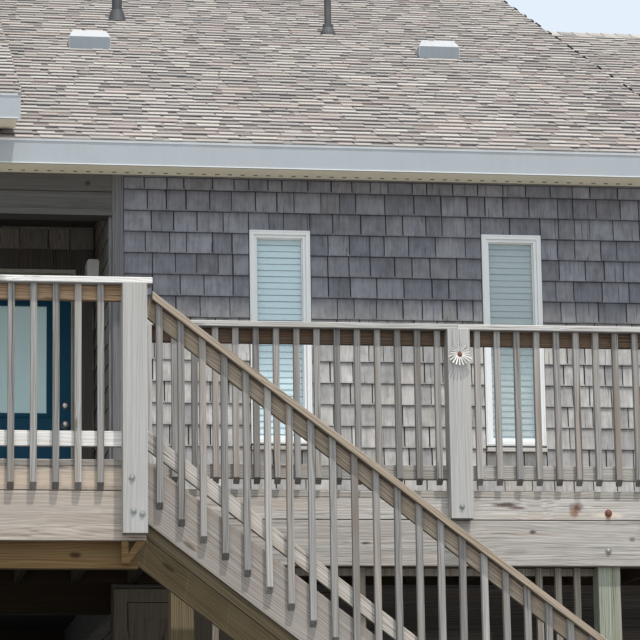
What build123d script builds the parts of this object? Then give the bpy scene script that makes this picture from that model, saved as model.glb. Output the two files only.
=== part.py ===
"""Beach house on pilings: three gabled, shingled blocks with a deck, a landing and an outside stair.

Millimetres, +Z up, +X to the right along the front, +Y into the house.
House coordinates: X = 0 at the left side of the deck post right of the stair,
Y = 0 at the outer face of the deck rim, Z = 0 at the ground.
The export moves everything so that the origin is the middle of the base.
"""
from build123d import *
import math
import os

# Lumber sections
lumber_t = 38.1           # thickness of two-inch lumber
width_4 = 88.9            # width of a 2x4
width_6 = 139.7           # width of a 2x6
width_12 = 285.75         # width of a 2x12
post_w = 139.7            # 6x6 post
baluster_w = 38.1         # 2x2 baluster
trim_t = 19.05            # one-inch trim board

# Levels
riser = 190.5
riser_count = 16
tread_run = 249.0
deck_z = riser * riser_count
floor_step = 76.0         # house floor above the decking
floor_depth = 305.0       # floor joists and boards together
girder_depth = 286.0

# Deck and landing
deck_depth = 2400.0       # rim face to house wall
rail_bay = 1989.0         # post to post along the front
deck_bays = 3             # front rail bays, from the stair head to the right end
stair_head_post = -2014.0  # left side of the first deck rail post
landing_depth = 1245.0    # landing rim face in front of the deck rim face
landing_right = -2028.0
landing_bay = 1989.0
deck_post_lefts = (-4156.0, -1750.0, 925.0, 3600.0)
landing_post_lefts = (-4156.0, -3010.0)
landing_beam_setback = 60.0
joist_pitch = 406.4
screen_pickets = (-1490.0, -575.0, 546.0, 667.0, 788.0)

# Rail, measured above the decking or above the line of the stair nosings
cap_height = 1046.0
cap_lip = 34.0            # cap edge in front of the balusters
baluster_pitch = 127.0
baluster_margin = 8.0
bottom_rail_z = 74.0
deck_baluster_end = 38.0
landing_baluster_end = -174.0
deck_baluster_anchor = 176.0
landing_baluster_anchor = -2289.0
stair_baluster_anchor = -1953.0
deck_post_drop = 178.0
landing_post_drop = 430.0
stair_cap_height = 991.0
stair_rail_z = 64.0
stair_baluster_end = -230.0
bracket_leg = 130.0
bracket_t = 38.0           # width of the bracket's leg and brace
board_joint = 3.0          # groove between the two boards of a rim
board_joint_depth = 2.0

# Stair
tread_depth = 270.0
tread_groove = 6.0
carriage_drop = 75.0      # carriages below the outer stringer
foot_past_last_riser = 60.0
newel_back = 2.0          # goings from the foot of the stair back to the newel

# Walls
wall_t = 165.0
main_left = -1893.0       # corner at the porch
main_right = 2135.0
main_depth = 13200.0
left_block_right = -3200.0
left_block_w = 3658.0
right_block_w = 3658.0
right_setback = 670.0
porch_depth = 1338.0
porch_head = 2266.0       # underside of the porch header
porch_ceiling_z = 2490.0
ceiling_t = 12.0

# Roof
roof_ratio = 0.475        # rise over run
roof_t = 150.0            # rafters and boards, measured upright
eave_top = 2741.0         # roof top at the fascia, above the decking
overhang = 320.0
left_eave_top = 2980.0
left_overhang = 610.0
rake_overhang = 305.0
fascia_h = 190.0
soffit_t = 12.0
soffit_lift = 12.0        # soffit above the lower edge of the fascia
eave_end_rise = 20.0      # board that closes the main eave, above the eave's top
vent_w = 360.0
vent_h = 130.0
vent_corner = 40.0
vent_bevel = 45.0
vent_runs = ((-1783.0, 3535.0), (1154.0, 3565.0))   # across the front, distance from the eave
pipe_runs = ((-1423.0, 5034.0, 89.0), (386.0, 4633.0, 60.0))   # the same, diameter
pipe_h = 400.0
pipe_boot_h = 110.0
roof_depth_cut = 2000.0    # deeper than any roof

# Windows and doors, above the decking
window_w = 433.0
window_h = 1528.0
window_sill_z = 656.0
window_frame_w = 52.0
window_proud = 20.0
window_frame_depth = 110.0
glass_t = 6.0
glass_depth = 35.0
blind_t = 12.0
blind_depth = 75.0
sill_h = 45.0
sill_proud = 45.0
front_window_lefts = (-922.0, 753.0)
window_shares = (0.28, 0.72)   # places along a wall that the photograph doesn't show
left_window_share = 0.8   # left block's windows keep clear of the deck rail
entry_w = 914.0
entry_h = 2032.0
entry_right = -2063.0
entry_t = 44.0
entry_glass_w = 546.0
entry_glass_h = 816.0
entry_glass_z = 1091.0
entry_panel_foot = 200.0
entry_panel_gap = 120.0   # top of the lower panels below the glass
entry_mullion = 60.0      # between the two lower panels
entry_panel_rim = 35.0
entry_panel_depth = 8.0
entry_glass_inset = 12.0
door_gap = 5.0
jamb_t = 27.0
stop_t = 12.0
entry_sill_z = 92.0
casing_t = 20.0
casing_w = 120.0
head_casing_h = 144.0
hardware_sizes = ((1009.0, 28.0), (1154.0, 27.0))   # height and radius of knob and deadbolt
hardware_in = 50.0        # from the edge of the door
rose_rim = 4.0
rose_t = 8.0
hardware_h = 24.0         # knob and deadbolt in front of the rose
hardware_waist = 0.75     # width of the knob to that of its rose
hinge_r = 6.0
hinge_lift = 7.0          # hinge axis in front of the door's face
knuckle_h = 50.0
knuckle_gap = 0.3
strap_w = 30.0
strap_t = 3.0
light_z = (2030.0, 2170.0)
light_out = 95.0
light_half_w = 105.0
light_in = 240.0          # middle of the light in front of the porch's back wall
light_round = 20.0

# Ground-level store room
store_wall_t = 102.0
store_depth = 4877.0
store_door_left = -1790.0
store_door_w = 813.0
store_header_h = 221.0     # wall above the door leaf and its gap
store_door_t = 38.0
store_sill_h = 150.0
store_stile = 110.0
store_panels = 4
store_panel_depth = 10.0
store_window = (780.0, 460.0, 1390.0, 900.0)   # left, width, bottom above ground, height
pile_w = 203.0
inner_pile_lefts = (-830.0, 1830.0)   # under the main block
pile_rows = 4

# Places that follow from the sizes above
slope = riser / tread_run
slope_length = math.hypot(1.0, slope)
deck_left = landing_right - post_w - landing_bay
deck_right = stair_head_post + rail_bay * deck_bays + post_w
post_proud = post_w - lumber_t
rim_h = width_6 + width_12
ridge_y = deck_depth + main_depth / 2
wall_foot = deck_z + floor_step - floor_depth
floor_z = deck_z + floor_step
store_door_h = wall_foot - store_header_h - store_sill_h - 2 * door_gap
house_left = left_block_right - left_block_w
house_right = main_right + right_block_w
back_y = deck_depth + main_depth
porch_back = deck_depth + porch_depth
right_front = deck_depth + right_setback
stair_foot = landing_right + tread_run * (riser_count - 1)
stair_baluster_pitch = tread_run / 2
pile_lefts = (house_left, left_block_right - pile_w, *inner_pile_lefts, house_right - pile_w)

nodes = {}


def block(x, y, z):
    """Box between two coordinates along each axis."""
    size = [abs(pair[1] - pair[0]) for pair in (x, y, z)]
    middle = [(pair[0] + pair[1]) / 2 for pair in (x, y, z)]
    return Pos(*middle) * Box(*size)


def along_x(outline, x0, x1):
    """Solid with an outline of (y, z) points, from x0 to x1."""
    face = make_face(Polyline(*[(x0, y, z) for y, z in outline], close=True))
    return extrude(face, amount=x1 - x0, dir=(1, 0, 0))


def along_y(outline, y0, y1):
    """Solid with an outline of (x, z) points, from y0 to y1."""
    face = make_face(Polyline(*[(x, y0, z) for x, z in outline], close=True))
    return extrude(face, amount=y1 - y0, dir=(0, 1, 0))


def solids_of(shapes):
    """Flat list of the solids in some shapes."""
    found = []
    for shape in shapes:
        found.extend(shape.solids())
    return found


def add(name, *shapes):
    """Keep a node made of one or more separate solids."""
    nodes[name] = solids_of(shapes)


def fused(shapes):
    """One shape from pieces that touch."""
    first, *rest = solids_of(shapes)
    return first.fuse(*rest) if rest else first


def mirror_y(y):
    """The same distance behind the ridge as y is in front of it."""
    return 2 * ridge_y - y


class House:
    """One gabled block: its walls along X, its front wall and its roof."""

    def __init__(self, left, right, front, hang, top, roof_left, roof_right):
        self.left, self.right, self.front = left, right, front
        self.eave = front - hang
        self.top = deck_z + top
        self.roof_left, self.roof_right = roof_left, roof_right

    def roof(self, y, drop=0.0):
        """Height of the roof at y, less a drop."""
        run = ridge_y - abs(y - ridge_y) - self.eave
        return self.top + roof_ratio * run - drop

    def under(self, y):
        return self.roof(y, roof_t)


main = House(left_block_right, main_right, deck_depth, overhang, eave_top,
             left_block_right, main_right + rake_overhang)
left = House(house_left, left_block_right, deck_depth, left_overhang, left_eave_top,
             house_left - left_overhang, left_block_right + left_overhang)
right = House(main_right, house_right, right_front, overhang, eave_top,
              main_right, house_right + rake_overhang)


def eave_wall(house, x0, x1, front, foot=wall_foot):
    """Wall along X whose top follows the underside of the roof."""
    y0, y1 = front, front + wall_t
    return along_x([(y0, foot), (y1, foot), (y1, house.under(y1)), (y0, house.under(y0))], x0, x1)


def gable_wall(house, x0):
    """End wall between the front and back walls, up to the ridge."""
    y0 = house.front + wall_t
    y1 = mirror_y(y0)
    outline = [(y0, wall_foot), (y1, wall_foot), (y1, house.under(y1)),
               (ridge_y, house.under(ridge_y)), (y0, house.under(y0))]
    return along_x(outline, x0, x0 + wall_t)


def cross_wall(house, x0, y0, y1):
    """Short wall along Y whose top follows the underside of the roof."""
    outline = [(y0, wall_foot), (y1, wall_foot), (y1, house.under(y1)), (y0, house.under(y0))]
    return along_x(outline, x0, x0 + wall_t)


def chevron(low, high, y0, x0, x1):
    """Band on both roof slopes from y0 to the ridge and down again."""
    y1 = mirror_y(y0)
    outline = [(y0, low(y0)), (ridge_y, low(ridge_y)), (y1, low(y1)),
               (y1, high(y1)), (ridge_y, high(ridge_y)), (y0, high(y0))]
    return along_x(outline, x0, x1)


class Window:
    """A narrow window: wall opening, frame with sill, glass and closed blind."""

    def __init__(self, x, y, turn, base=deck_z, sill=window_sill_z, w=window_w, h=window_h):
        self.place = Location((x, y, base + sill), (0, 0, turn))
        self.w, self.h = w, h

    def local(self, x, y, z):
        return self.place * block(x, y, z)

    def opening(self):
        half = self.w / 2
        return self.local((-half, half), (-sill_proud, wall_t * 2), (-sill_h, self.h))

    def frame(self):
        half, inner = self.w / 2, self.w / 2 - window_frame_w
        ring = block((-half, half), (-window_proud, window_frame_depth), (0, self.h))
        ring -= block((-inner, inner), (-window_proud, window_frame_depth),
                      (window_frame_w, self.h - window_frame_w))
        sill = block((-half, half), (-sill_proud, window_frame_depth), (-sill_h, 0))
        return self.place * (ring + sill)

    def pane(self, depth, thickness, clearance=0.0):
        inner = self.w / 2 - window_frame_w - clearance
        bottom = window_frame_w + clearance
        return self.local((-inner, inner), (depth, depth + thickness), (bottom, self.h - bottom))


def list_windows():
    """Every window, with the wall node that it pierces."""
    half = window_w / 2
    found = [("main_walls", Window(x + half, deck_depth, 0)) for x in front_window_lefts]
    for share in window_shares:
        left_x = house_left + left_block_w * share * left_window_share
        right_x = main_right + right_block_w * share
        main_x = left_block_right + (main_right - left_block_right) * share
        side_y = deck_depth + main_depth * share
        found.append(("wing_walls", Window(left_x, deck_depth, 0)))
        found.append(("wing_walls", Window(left_x, back_y, 180)))
        found.append(("wing_walls", Window(right_x, right_front, 0)))
        found.append(("wing_walls", Window(right_x, mirror_y(right_front), 180)))
        found.append(("main_walls", Window(main_x, back_y, 180)))
        found.append(("gable_walls", Window(house_left, side_y, -90)))
        found.append(("gable_walls", Window(house_right, side_y, 90)))
    return found


def build_walls(windows):
    """House walls, each pierced by its windows."""
    leg = main_right - wall_t
    right_back = mirror_y(right_front)
    inner = left_block_right - wall_t
    walls = {
        "main_walls": [eave_wall(main, main_left, main_right, deck_depth),
                       eave_wall(main, left_block_right, main_right, back_y - wall_t)],
        "wing_walls": [eave_wall(left, house_left, left_block_right, deck_depth),
                       eave_wall(left, house_left, left_block_right, back_y - wall_t),
                       eave_wall(right, main_right, house_right, right_front),
                       eave_wall(right, main_right, house_right, right_back - wall_t)],
        "gable_walls": [gable_wall(left, house_left),
                        gable_wall(right, house_right - wall_t),
                        chevron(main.under, left.under, deck_depth + wall_t, inner, left_block_right),
                        chevron(right.under, main.under, right_front + wall_t, leg, main_right)],
        "corner_walls": [cross_wall(main, leg, deck_depth + wall_t, right_front + wall_t),
                         cross_wall(main, leg, right_back - wall_t, back_y - wall_t),
                         cross_wall(main, main_left, deck_depth + wall_t, porch_back + wall_t),
                         cross_wall(main, inner, deck_depth + wall_t, porch_back + wall_t)],
    }
    for name, pieces in walls.items():
        cuts = [window.opening() for wall, window in windows if wall == name]
        add(name, *[piece.cut(*cuts) if cuts else piece for piece in pieces])


def build_windows(windows):
    add("window_frames", *[window.frame() for _, window in windows])
    add("window_glass", *[window.pane(glass_depth, glass_t) for _, window in windows])
    shaded = [window for wall, window in windows if wall != "store_wall_beside_door"]
    add("window_blinds", *[window.pane(blind_depth, blind_t) for window in shaded])


def hinge_half(axis_x, face_y, out, toward, z):
    """Knuckle with its strap: out is the side that the face looks to, toward is the strap's."""
    axis_y = face_y + out * hinge_lift
    knuckle = Pos(axis_x, axis_y, z + knuckle_h / 2) * Cylinder(hinge_r, knuckle_h)
    strap_y = (face_y, face_y + out * strap_t)
    strap = block((axis_x, axis_x + toward * strap_w), strap_y, (z, z + knuckle_h))
    web = block((axis_x, axis_x + toward * hinge_r), (face_y, axis_y), (z, z + knuckle_h))
    return knuckle + strap + web


def hinge_pair(axis_x, face_y, out, leaf_side, door_z, door_h):
    """Leaf halves and frame halves of three hinges."""
    leaf, frame = [], []
    for share in (0.1, 0.5, 0.9):
        z = door_z + door_h * share - knuckle_h
        leaf.append(hinge_half(axis_x, face_y, out, leaf_side, z))
        frame.append(hinge_half(axis_x, face_y, out, -leaf_side, z + knuckle_h + knuckle_gap))
    return leaf, frame


def build_porch():
    """Recessed entry: header, floor, back wall round the door; gives its ceiling."""
    x0, x1 = left_block_right, main_left
    jamb_left = entry_right - entry_w - door_gap - jamb_t
    jamb_right = entry_right + door_gap + jamb_t
    head = deck_z + entry_sill_z + door_gap + entry_h + door_gap + jamb_t
    sill = deck_z + entry_sill_z
    y0, y1 = porch_back, porch_back + wall_t
    beside = [eave_wall(main, x0, jamb_left, y0), eave_wall(main, jamb_right, x1, y0)]
    add("porch_wall_beside_door", *beside)
    add("porch_wall_over_door", eave_wall(main, jamb_left, jamb_right, y0, head))
    add("porch_header", eave_wall(main, x0, x1, deck_depth, deck_z + porch_head))
    ceiling_z = deck_z + porch_ceiling_z
    ceiling = block((x0, x1), (deck_depth + wall_t, y0), (ceiling_z, ceiling_z + ceiling_t))
    floor = [block((x0, x1), (deck_depth, y0), (deck_z - lumber_t, deck_z))]
    joists = 4
    for i in range(joists):
        left_x = x0 + (x1 - x0 - lumber_t) * i / (joists - 1)
        floor.append(block((left_x, left_x + lumber_t), (deck_depth, y0), (wall_foot, deck_z - lumber_t)))
    add("porch_floor", fused(floor))

    leaf_y0 = y1 - entry_t
    opening = (jamb_left + jamb_t, jamb_right - jamb_t)
    frame = block((jamb_left, jamb_right), (y0, y1), (wall_foot, head))
    frame -= block(opening, (y0, y1), (sill, head - jamb_t))
    stop = block(opening, (leaf_y0 - door_gap - stop_t, leaf_y0 - door_gap), (sill, head - jamb_t))
    stop -= block((opening[0] + stop_t, opening[1] - stop_t), (y0, y1), (sill, head - jamb_t - stop_t))
    leaf_z = sill + door_gap
    hinges = hinge_pair(entry_right - entry_w - door_gap / 2, y1, 1, 1, leaf_z, entry_h)[1]
    add("entry_frame", fused([frame + stop] + hinges))

    left_casing = max(jamb_left + jamb_t / 2 - casing_w, x0)
    right_casing = min(jamb_right - jamb_t / 2 + casing_w, x1)
    casing = block((left_casing, right_casing), (y0 - casing_t, y0), (deck_z, head + head_casing_h))
    casing -= block((jamb_left + jamb_t / 2, jamb_right - jamb_t / 2), (y0 - casing_t, y0), (deck_z, head))
    add("entry_casing", casing)

    light_y = porch_back - light_in
    light = block((x1 - light_out, x1), (light_y - light_half_w, light_y + light_half_w),
                  (deck_z + light_z[0], deck_z + light_z[1]))
    add("porch_light", fillet(light.faces().sort_by(Axis.X)[0].edges(), light_round))
    return ceiling


def build_entry_door():
    """Half-glass leaf with raised mouldings below, glass, knob and deadbolt."""
    y1 = porch_back + wall_t
    y0 = y1 - entry_t
    x0, x1 = entry_right - entry_w, entry_right
    z0 = deck_z + entry_sill_z + door_gap
    leaf = block((x0, x1), (y0, y1), (z0, z0 + entry_h))
    glass_x = ((x0 + x1 - entry_glass_w) / 2, (x0 + x1 + entry_glass_w) / 2)
    glass_z = (deck_z + entry_glass_z, deck_z + entry_glass_z + entry_glass_h)
    leaf -= block(glass_x, (y0, y1), glass_z)
    top = glass_z[0] - entry_panel_gap
    bottom = z0 + entry_panel_foot
    panel_w = (entry_glass_w - entry_mullion) / 2
    depth = (y0, y0 + entry_panel_depth)
    rim = entry_panel_rim
    for left_x in (glass_x[0], glass_x[1] - panel_w):
        recess = block((left_x, left_x + panel_w), depth, (bottom, top))
        raised = block((left_x + rim, left_x + panel_w - rim), depth, (bottom + rim, top - rim))
        leaf -= recess - raised
    hinges = hinge_pair(x0 - door_gap / 2, y1, 1, 1, z0, entry_h)[0]
    add("entry_door", fused([leaf] + hinges))
    pane_y = (y0 + entry_glass_inset, y1 - entry_glass_inset)
    add("entry_door_glass", block(glass_x, pane_y, glass_z))
    hardware = []
    for height, radius in hardware_sizes:
        place = Pos(x1 - hardware_in, y0, deck_z + height) * Rot(90, 0, 0)
        rose = place * Pos(0, 0, rose_t / 2) * Cylinder(radius + rose_rim, rose_t)
        body = place * Pos(0, 0, rose_t + hardware_h / 2) * Cylinder(radius * hardware_waist, hardware_h)
        hardware.append(rose + body)
    add("entry_knob", *hardware)


def rake_board(house, x0):
    """Board under the roof's edge at a gable, as deep as the fascia."""
    def low(y):
        return house.roof(y, fascia_h)

    return chevron(low, house.roof, house.eave - trim_t, x0, x0 + trim_t)


def build_roofs(ceiling):
    houses = (main, left, right)
    add("roofs", *[chevron(h.under, h.roof, h.eave, h.roof_left, h.roof_right) for h in houses])
    fascias, soffits, rakes = [], [ceiling], []
    rake_places = {main: (main.roof_right,), left: (left.roof_left - trim_t, left.roof_right),
                   right: (right.roof_right,)}
    for house in houses:
        low = house.top - fascia_h
        soffit_z = (low + soffit_lift, low + soffit_lift + soffit_t)
        wide = (house.roof_left, house.roof_right)
        for flip in (False, True):
            boards = [(house.eave - trim_t, house.eave), (house.eave, house.front)]
            if flip:
                boards = [tuple(mirror_y(y) for y in pair) for pair in boards]
            fascias.append(block(wide, boards[0], (low, house.top)))
            soffit = block(wide, boards[1], soffit_z)
            if house is left:
                over_main = (main.eave, main.front)
                if flip:
                    over_main = (mirror_y(main.eave), mirror_y(main.front))
                soffit -= block((left_block_right, left.roof_right), over_main, soffit_z)
            soffits.append(soffit)
        rakes.extend(rake_board(house, x0) for x0 in rake_places[house])
    front_eave = (main.eave - trim_t, main.front)
    for y in (front_eave, [mirror_y(y) for y in front_eave]):
        fascias.append(block((left_block_right - trim_t, left_block_right), y,
                             (main.top - fascia_h, main.top + eave_end_rise)))
    add("fascia_boards", *fascias)
    add("soffits", *soffits)
    add("rake_boards", *rakes)


def below_main_roof():
    """Everything under the front slope of the main roof."""
    low = main.top - roof_depth_cut
    outline = [(main.eave, main.top), (ridge_y, main.roof(ridge_y)), (ridge_y, low), (main.eave, low)]
    return along_x(outline, left_block_right, main_right)


def build_roof_fittings():
    roof = below_main_roof()
    vents = []
    for x, run in vent_runs:
        y = main.eave + run
        box = Pos(x, y + vent_w / 2, main.roof(y) + vent_h / 2) * Box(vent_w, vent_w, vent_h * 2)
        box = chamfer(box.edges().filter_by(Axis.Z).sort_by(Axis.Y)[:2], vent_corner)
        box = chamfer(box.faces().sort_by(Axis.Z)[-1].edges(), vent_bevel)
        vents.append(box - roof)
    add("roof_vents", *vents)
    pipes = []
    for x, run, size in pipe_runs:
        y = main.eave + run
        place = Pos(x, y, main.roof(y))
        pipe = place * Pos(0, 0, pipe_h / 2) * Cylinder(size / 2, pipe_h + size)
        boot = place * Pos(0, 0, pipe_boot_h / 4) * Cone(size * 0.95, size * 0.62, pipe_boot_h)
        pipes.append((pipe + boot) - roof)
    add("vent_pipes", *pipes)


def build_floor():
    """House floor inside the walls, with the notch of the porch."""
    z = (wall_foot, floor_z)
    inner = left_block_right - wall_t
    leg = main_right - wall_t
    rooms = [
        block((house_left + wall_t, inner), (deck_depth + wall_t, back_y - wall_t), z),
        block((inner, leg), (porch_back + wall_t, back_y - wall_t), z),
        block((main_left + wall_t, leg), (deck_depth + wall_t, porch_back + wall_t), z),
        block((leg, house_right - wall_t), (right_front + wall_t, mirror_y(right_front) - wall_t), z),
    ]
    add("house_floor", fused(rooms))


def pile_row_places():
    """Front side of each row of pilings, under the deeper blocks and under the right block."""
    ends = [(deck_depth + store_wall_t, back_y - pile_w), (right_front, mirror_y(right_front) - pile_w)]
    return [[first + (last - first) * i / (pile_rows - 1) for i in range(pile_rows)] for first, last in ends]


def build_foundation():
    """Pilings in rows; gives the girders on them."""
    top = wall_foot - girder_depth
    inset = (pile_w - 2 * lumber_t) / 2
    deep_rows, right_rows = pile_row_places()
    piles, girders = [], []
    for deep_y, right_y in zip(deep_rows, right_rows):
        for x in pile_lefts:
            y = right_y if x > main_right else deep_y
            piles.append(block((x, x + pile_w), (y, y + pile_w), (0, top)))
        for wide, y in (((house_left, main_right), deep_y), ((main_right, house_right), right_y)):
            girders.append(block(wide, (y + inset, y + pile_w - inset), (top, wall_foot)))
    add("pilings", *piles)
    return girders


def build_store(windows):
    """Ground-level store room under the main block, with a panelled door."""
    y0, y1 = deck_depth, deck_depth + store_wall_t
    top = wall_foot
    head = store_sill_h + door_gap + store_door_h + door_gap
    door_x = (store_door_left, store_door_left + store_door_w)
    opening = (door_x[0] - door_gap, door_x[1] + door_gap)
    beside = [block((main_left, opening[0]), (y0, y1), (0, top)),
              block((opening[1], main_right), (y0, y1), (0, top))]
    left_w, wide, low, high = store_window
    window = Window(left_w + wide / 2, y0, 0, base=0.0, sill=low, w=wide, h=high)
    windows.append(("store_wall_beside_door", window))
    add("store_wall_beside_door", *[piece.cut(window.opening()) for piece in beside])
    add("store_wall_over_door", block(opening, (y0, y1), (head, top)))
    add("store_sill", block(opening, (y0, y1), (0, store_sill_h)))
    back = deck_depth + store_depth
    sides = [block((x, x + store_wall_t), (y1, back), (0, wall_foot)) for x in
             (main_left, main_right - store_wall_t)]
    rear = block((main_left + store_wall_t, main_right - store_wall_t), (back - store_wall_t, back),
                 (0, wall_foot))
    walls = fused(sides + [rear])
    inset = (pile_w - 2 * lumber_t) / 2
    for y in pile_row_places()[0]:
        walls -= block((house_left, house_right), (y + inset, y + pile_w - inset),
                       (wall_foot - girder_depth, wall_foot))
    add("store_walls", walls)

    leaf_y = (y0 - casing_t, y0 - casing_t + store_door_t)
    leaf_z = (store_sill_h + door_gap, store_sill_h + door_gap + store_door_h)
    leaf = block(door_x, leaf_y, leaf_z)
    stile = store_stile
    panel_x = (door_x[0] + stile, door_x[1] - stile)
    panel_h = (store_door_h - stile * (store_panels + 1)) / store_panels
    for i in range(store_panels):
        z0 = leaf_z[0] + stile + i * (panel_h + stile)
        leaf -= block(panel_x, (leaf_y[0], leaf_y[0] + store_panel_depth), (z0, z0 + panel_h))
    leaf_hinges, frame_hinges = hinge_pair(door_x[0] - door_gap / 2, leaf_y[0], -1, 1,
                                           leaf_z[0], store_door_h)
    add("store_door", fused([leaf] + leaf_hinges))
    casing = block((opening[0] - width_4, opening[1] + width_4), (y0 - casing_t, y0),
                   (0, head + width_4))
    casing -= block(opening, (y0 - casing_t, y0), (0, head))
    add("store_casing", fused([casing] + frame_hinges))


def rail_posts():
    """Deck rail posts, notched over the rim: outline across the rim as (out, up)."""
    def outline(drop):
        return [(-post_proud, -drop), (0.0, -drop), (0.0, 0.0), (lumber_t, 0.0),
                (lumber_t, cap_height - lumber_t), (-post_proud, cap_height - lumber_t)]

    def front_post(x, rim_y, drop):
        return along_x([(rim_y + y, deck_z + z) for y, z in outline(drop)], x, x + post_w)

    def side_post(y, rim_x, out, drop):
        return along_y([(rim_x - out * x, deck_z + z) for x, z in outline(drop)], y, y + post_w)

    posts = [front_post(stair_head_post + rail_bay * i, 0.0, deck_post_drop)
             for i in range(deck_bays + 1)]
    posts += [front_post(x, -landing_depth, landing_post_drop)
              for x in (deck_left, landing_right - post_w)]
    posts += [side_post(y, deck_left, -1, deck_post_drop) for y in (-post_proud, deck_depth - post_w)]
    posts += [side_post(right_front - post_w, deck_right, 1, deck_post_drop)]
    return posts


def newel():
    """Foot post of the stair, cut to the slope of its rail."""
    x0 = stair_foot - tread_run * newel_back
    nosing = deck_z - slope * (x0 - landing_right)
    y = -landing_depth
    top = nosing + stair_cap_height
    outline = [(y - post_proud, 0), (y, 0), (y, nosing), (y + lumber_t, nosing), (y + lumber_t, top),
               (y - post_proud, top)]
    return along_x(outline, x0, x0 + post_w) - above_stair_cap()


def stair_line(x, lift):
    """Height at x of the line of the nosings, lifted."""
    return deck_z - slope * (x - landing_right) + lift


def stair_band(x0, x1, low, high, y0, y1):
    """Board that runs with the stair, with plumb ends."""
    outline = [(x0, stair_line(x0, low)), (x1, stair_line(x1, low)),
               (x1, stair_line(x1, high)), (x0, stair_line(x0, high))]
    return along_y(outline, y0, y1)


cap_under = stair_cap_height - lumber_t * slope_length


def above_stair_cap():
    """Everything above the underside of the sloped cap."""
    x0, x1 = landing_right, stair_foot + tread_run
    high = cap_under + stair_cap_height
    return stair_band(x0, x1, cap_under, high, -landing_depth - post_w, -landing_depth + post_w)


def centres(start, end, anchor, pitch=baluster_pitch):
    """Baluster centres between two posts, on a grid that has one at the anchor."""
    room = baluster_w / 2 + baluster_margin
    first = math.ceil((start + room - anchor) / pitch)
    last = math.floor((end - room - anchor) / pitch)
    return [anchor + pitch * i for i in range(first, last + 1)]


def rail_panel(length, stations, end):
    """Rail between two posts, along X from 0, with its rails behind Y = 0."""
    top = cap_height - lumber_t
    pieces = [block((0, length), (0, lumber_t), (top - width_4, top)),
              block((0, length), (0, lumber_t), (bottom_rail_z, bottom_rail_z + width_4))]
    outline = [(-baluster_w, end + baluster_w), (0, end), (0, top), (-baluster_w, top)]
    for x in stations:
        pieces.append(along_x(outline, x - baluster_w / 2, x + baluster_w / 2))
    return fused(pieces)


def front_rail(x0, x1, y, anchor, end):
    stations = [x - x0 for x in centres(x0, x1, anchor)]
    return Location((x0, y, deck_z)) * rail_panel(x1 - x0, stations, end)


def side_rail(y0, y1, x, turn, end):
    """Rail along Y, its balusters on the side that the turn gives."""
    length = y1 - y0
    stations = centres(0.0, length, length / 2)
    start = (x, y0 if turn > 0 else y1, deck_z)
    return Location(start, (0, 0, turn)) * rail_panel(length, stations, end)


def build_rails():
    rails = []
    for i in range(deck_bays):
        x0 = stair_head_post + rail_bay * i + post_w
        rails.append(front_rail(x0, x0 + rail_bay - post_w, 0.0, deck_baluster_anchor, deck_baluster_end))
    rails += [front_rail(deck_left + post_w, landing_right - post_w, -landing_depth,
                         landing_baluster_anchor, landing_baluster_end),
              side_rail(-landing_depth + lumber_t, -post_proud, deck_left, -90, landing_baluster_end),
              side_rail(lumber_t, deck_depth - post_w, deck_left, -90, deck_baluster_end),
              side_rail(lumber_t, right_front - post_w, deck_right, 90, deck_baluster_end)]
    add("deck_rails", *rails)
    add("rail_posts", *rail_posts(), newel())
    out = baluster_w + cap_lip
    back = width_6 - out
    z = (deck_z + cap_height - lumber_t, deck_z + cap_height)
    deck_cap = fused([
        block((stair_head_post - cap_lip, deck_right + out), (-out, back), z),
        block((deck_right - back, deck_right + out), (back, right_front), z)])
    landing_cap = fused([
        block((deck_left - out, landing_right + cap_lip), (-landing_depth - out, -landing_depth + back), z),
        block((deck_left - out, deck_left + back), (-landing_depth + back, deck_depth), z)])
    x1 = stair_foot - tread_run * newel_back + post_w + cap_lip
    stair_cap = stair_band(landing_right + cap_lip, x1, cap_under, stair_cap_height,
                           -landing_depth - out, -landing_depth + back)
    add("rail_caps", deck_cap, landing_cap, stair_cap)


def build_stair():
    y = -landing_depth
    far = -post_proud
    x_end = stair_foot + foot_past_last_riser
    under = -width_12 * slope_length
    meet = landing_right + (deck_z + under) / slope
    outline = [(landing_right, deck_z), (x_end, stair_line(x_end, 0)), (x_end, 0), (meet, 0),
               (landing_right, stair_line(landing_right, under))]
    add("stair_stringer", along_y(outline, y, y + lumber_t))

    points = [(landing_right, deck_z - riser - lumber_t)]
    for k in range(1, riser_count):
        x = landing_right + tread_run * k
        points.append((x, deck_z - riser * k - lumber_t))
        points.append((x, deck_z - riser * (k + 1) - lumber_t if k < riser_count - 1 else 0))
    under -= carriage_drop
    points.append((landing_right + (deck_z + under) / slope, 0))
    points.append((landing_right, deck_z + under))
    add("stair_carriages", along_y(points, y + lumber_t, y + 2 * lumber_t),
        along_y(points, far - lumber_t, far))

    treads = []
    for k in range(1, riser_count):
        x = landing_right + tread_run * (k - 1)
        top = deck_z - riser * k
        tread = block((x, x + tread_depth), (y + lumber_t, far), (top - lumber_t, top))
        middle = x + tread_depth / 2
        groove = block((middle - tread_groove / 2, middle + tread_groove / 2), (y + lumber_t, far),
                       (top - lumber_t / 2, top))
        treads.append(tread - groove)
    add("stair_treads", *treads)

    x1 = stair_foot - tread_run * newel_back
    rails = [stair_band(landing_right, x1, cap_under - width_4 * slope_length, cap_under, y, y + lumber_t),
             stair_band(landing_right, x1, stair_rail_z, stair_rail_z + width_4 * slope_length,
                        y, y + lumber_t)]
    for x in centres(landing_right, x1, stair_baluster_anchor, stair_baluster_pitch):
        end = stair_line(x, stair_baluster_end)
        top = stair_line(x, stair_cap_height)
        shape = [(y - baluster_w, end + baluster_w), (y, end), (y, top), (y - baluster_w, top)]
        rails.append(along_x(shape, x - baluster_w / 2, x + baluster_w / 2))
    add("stair_rail", fused(rails) - above_stair_cap())


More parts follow.
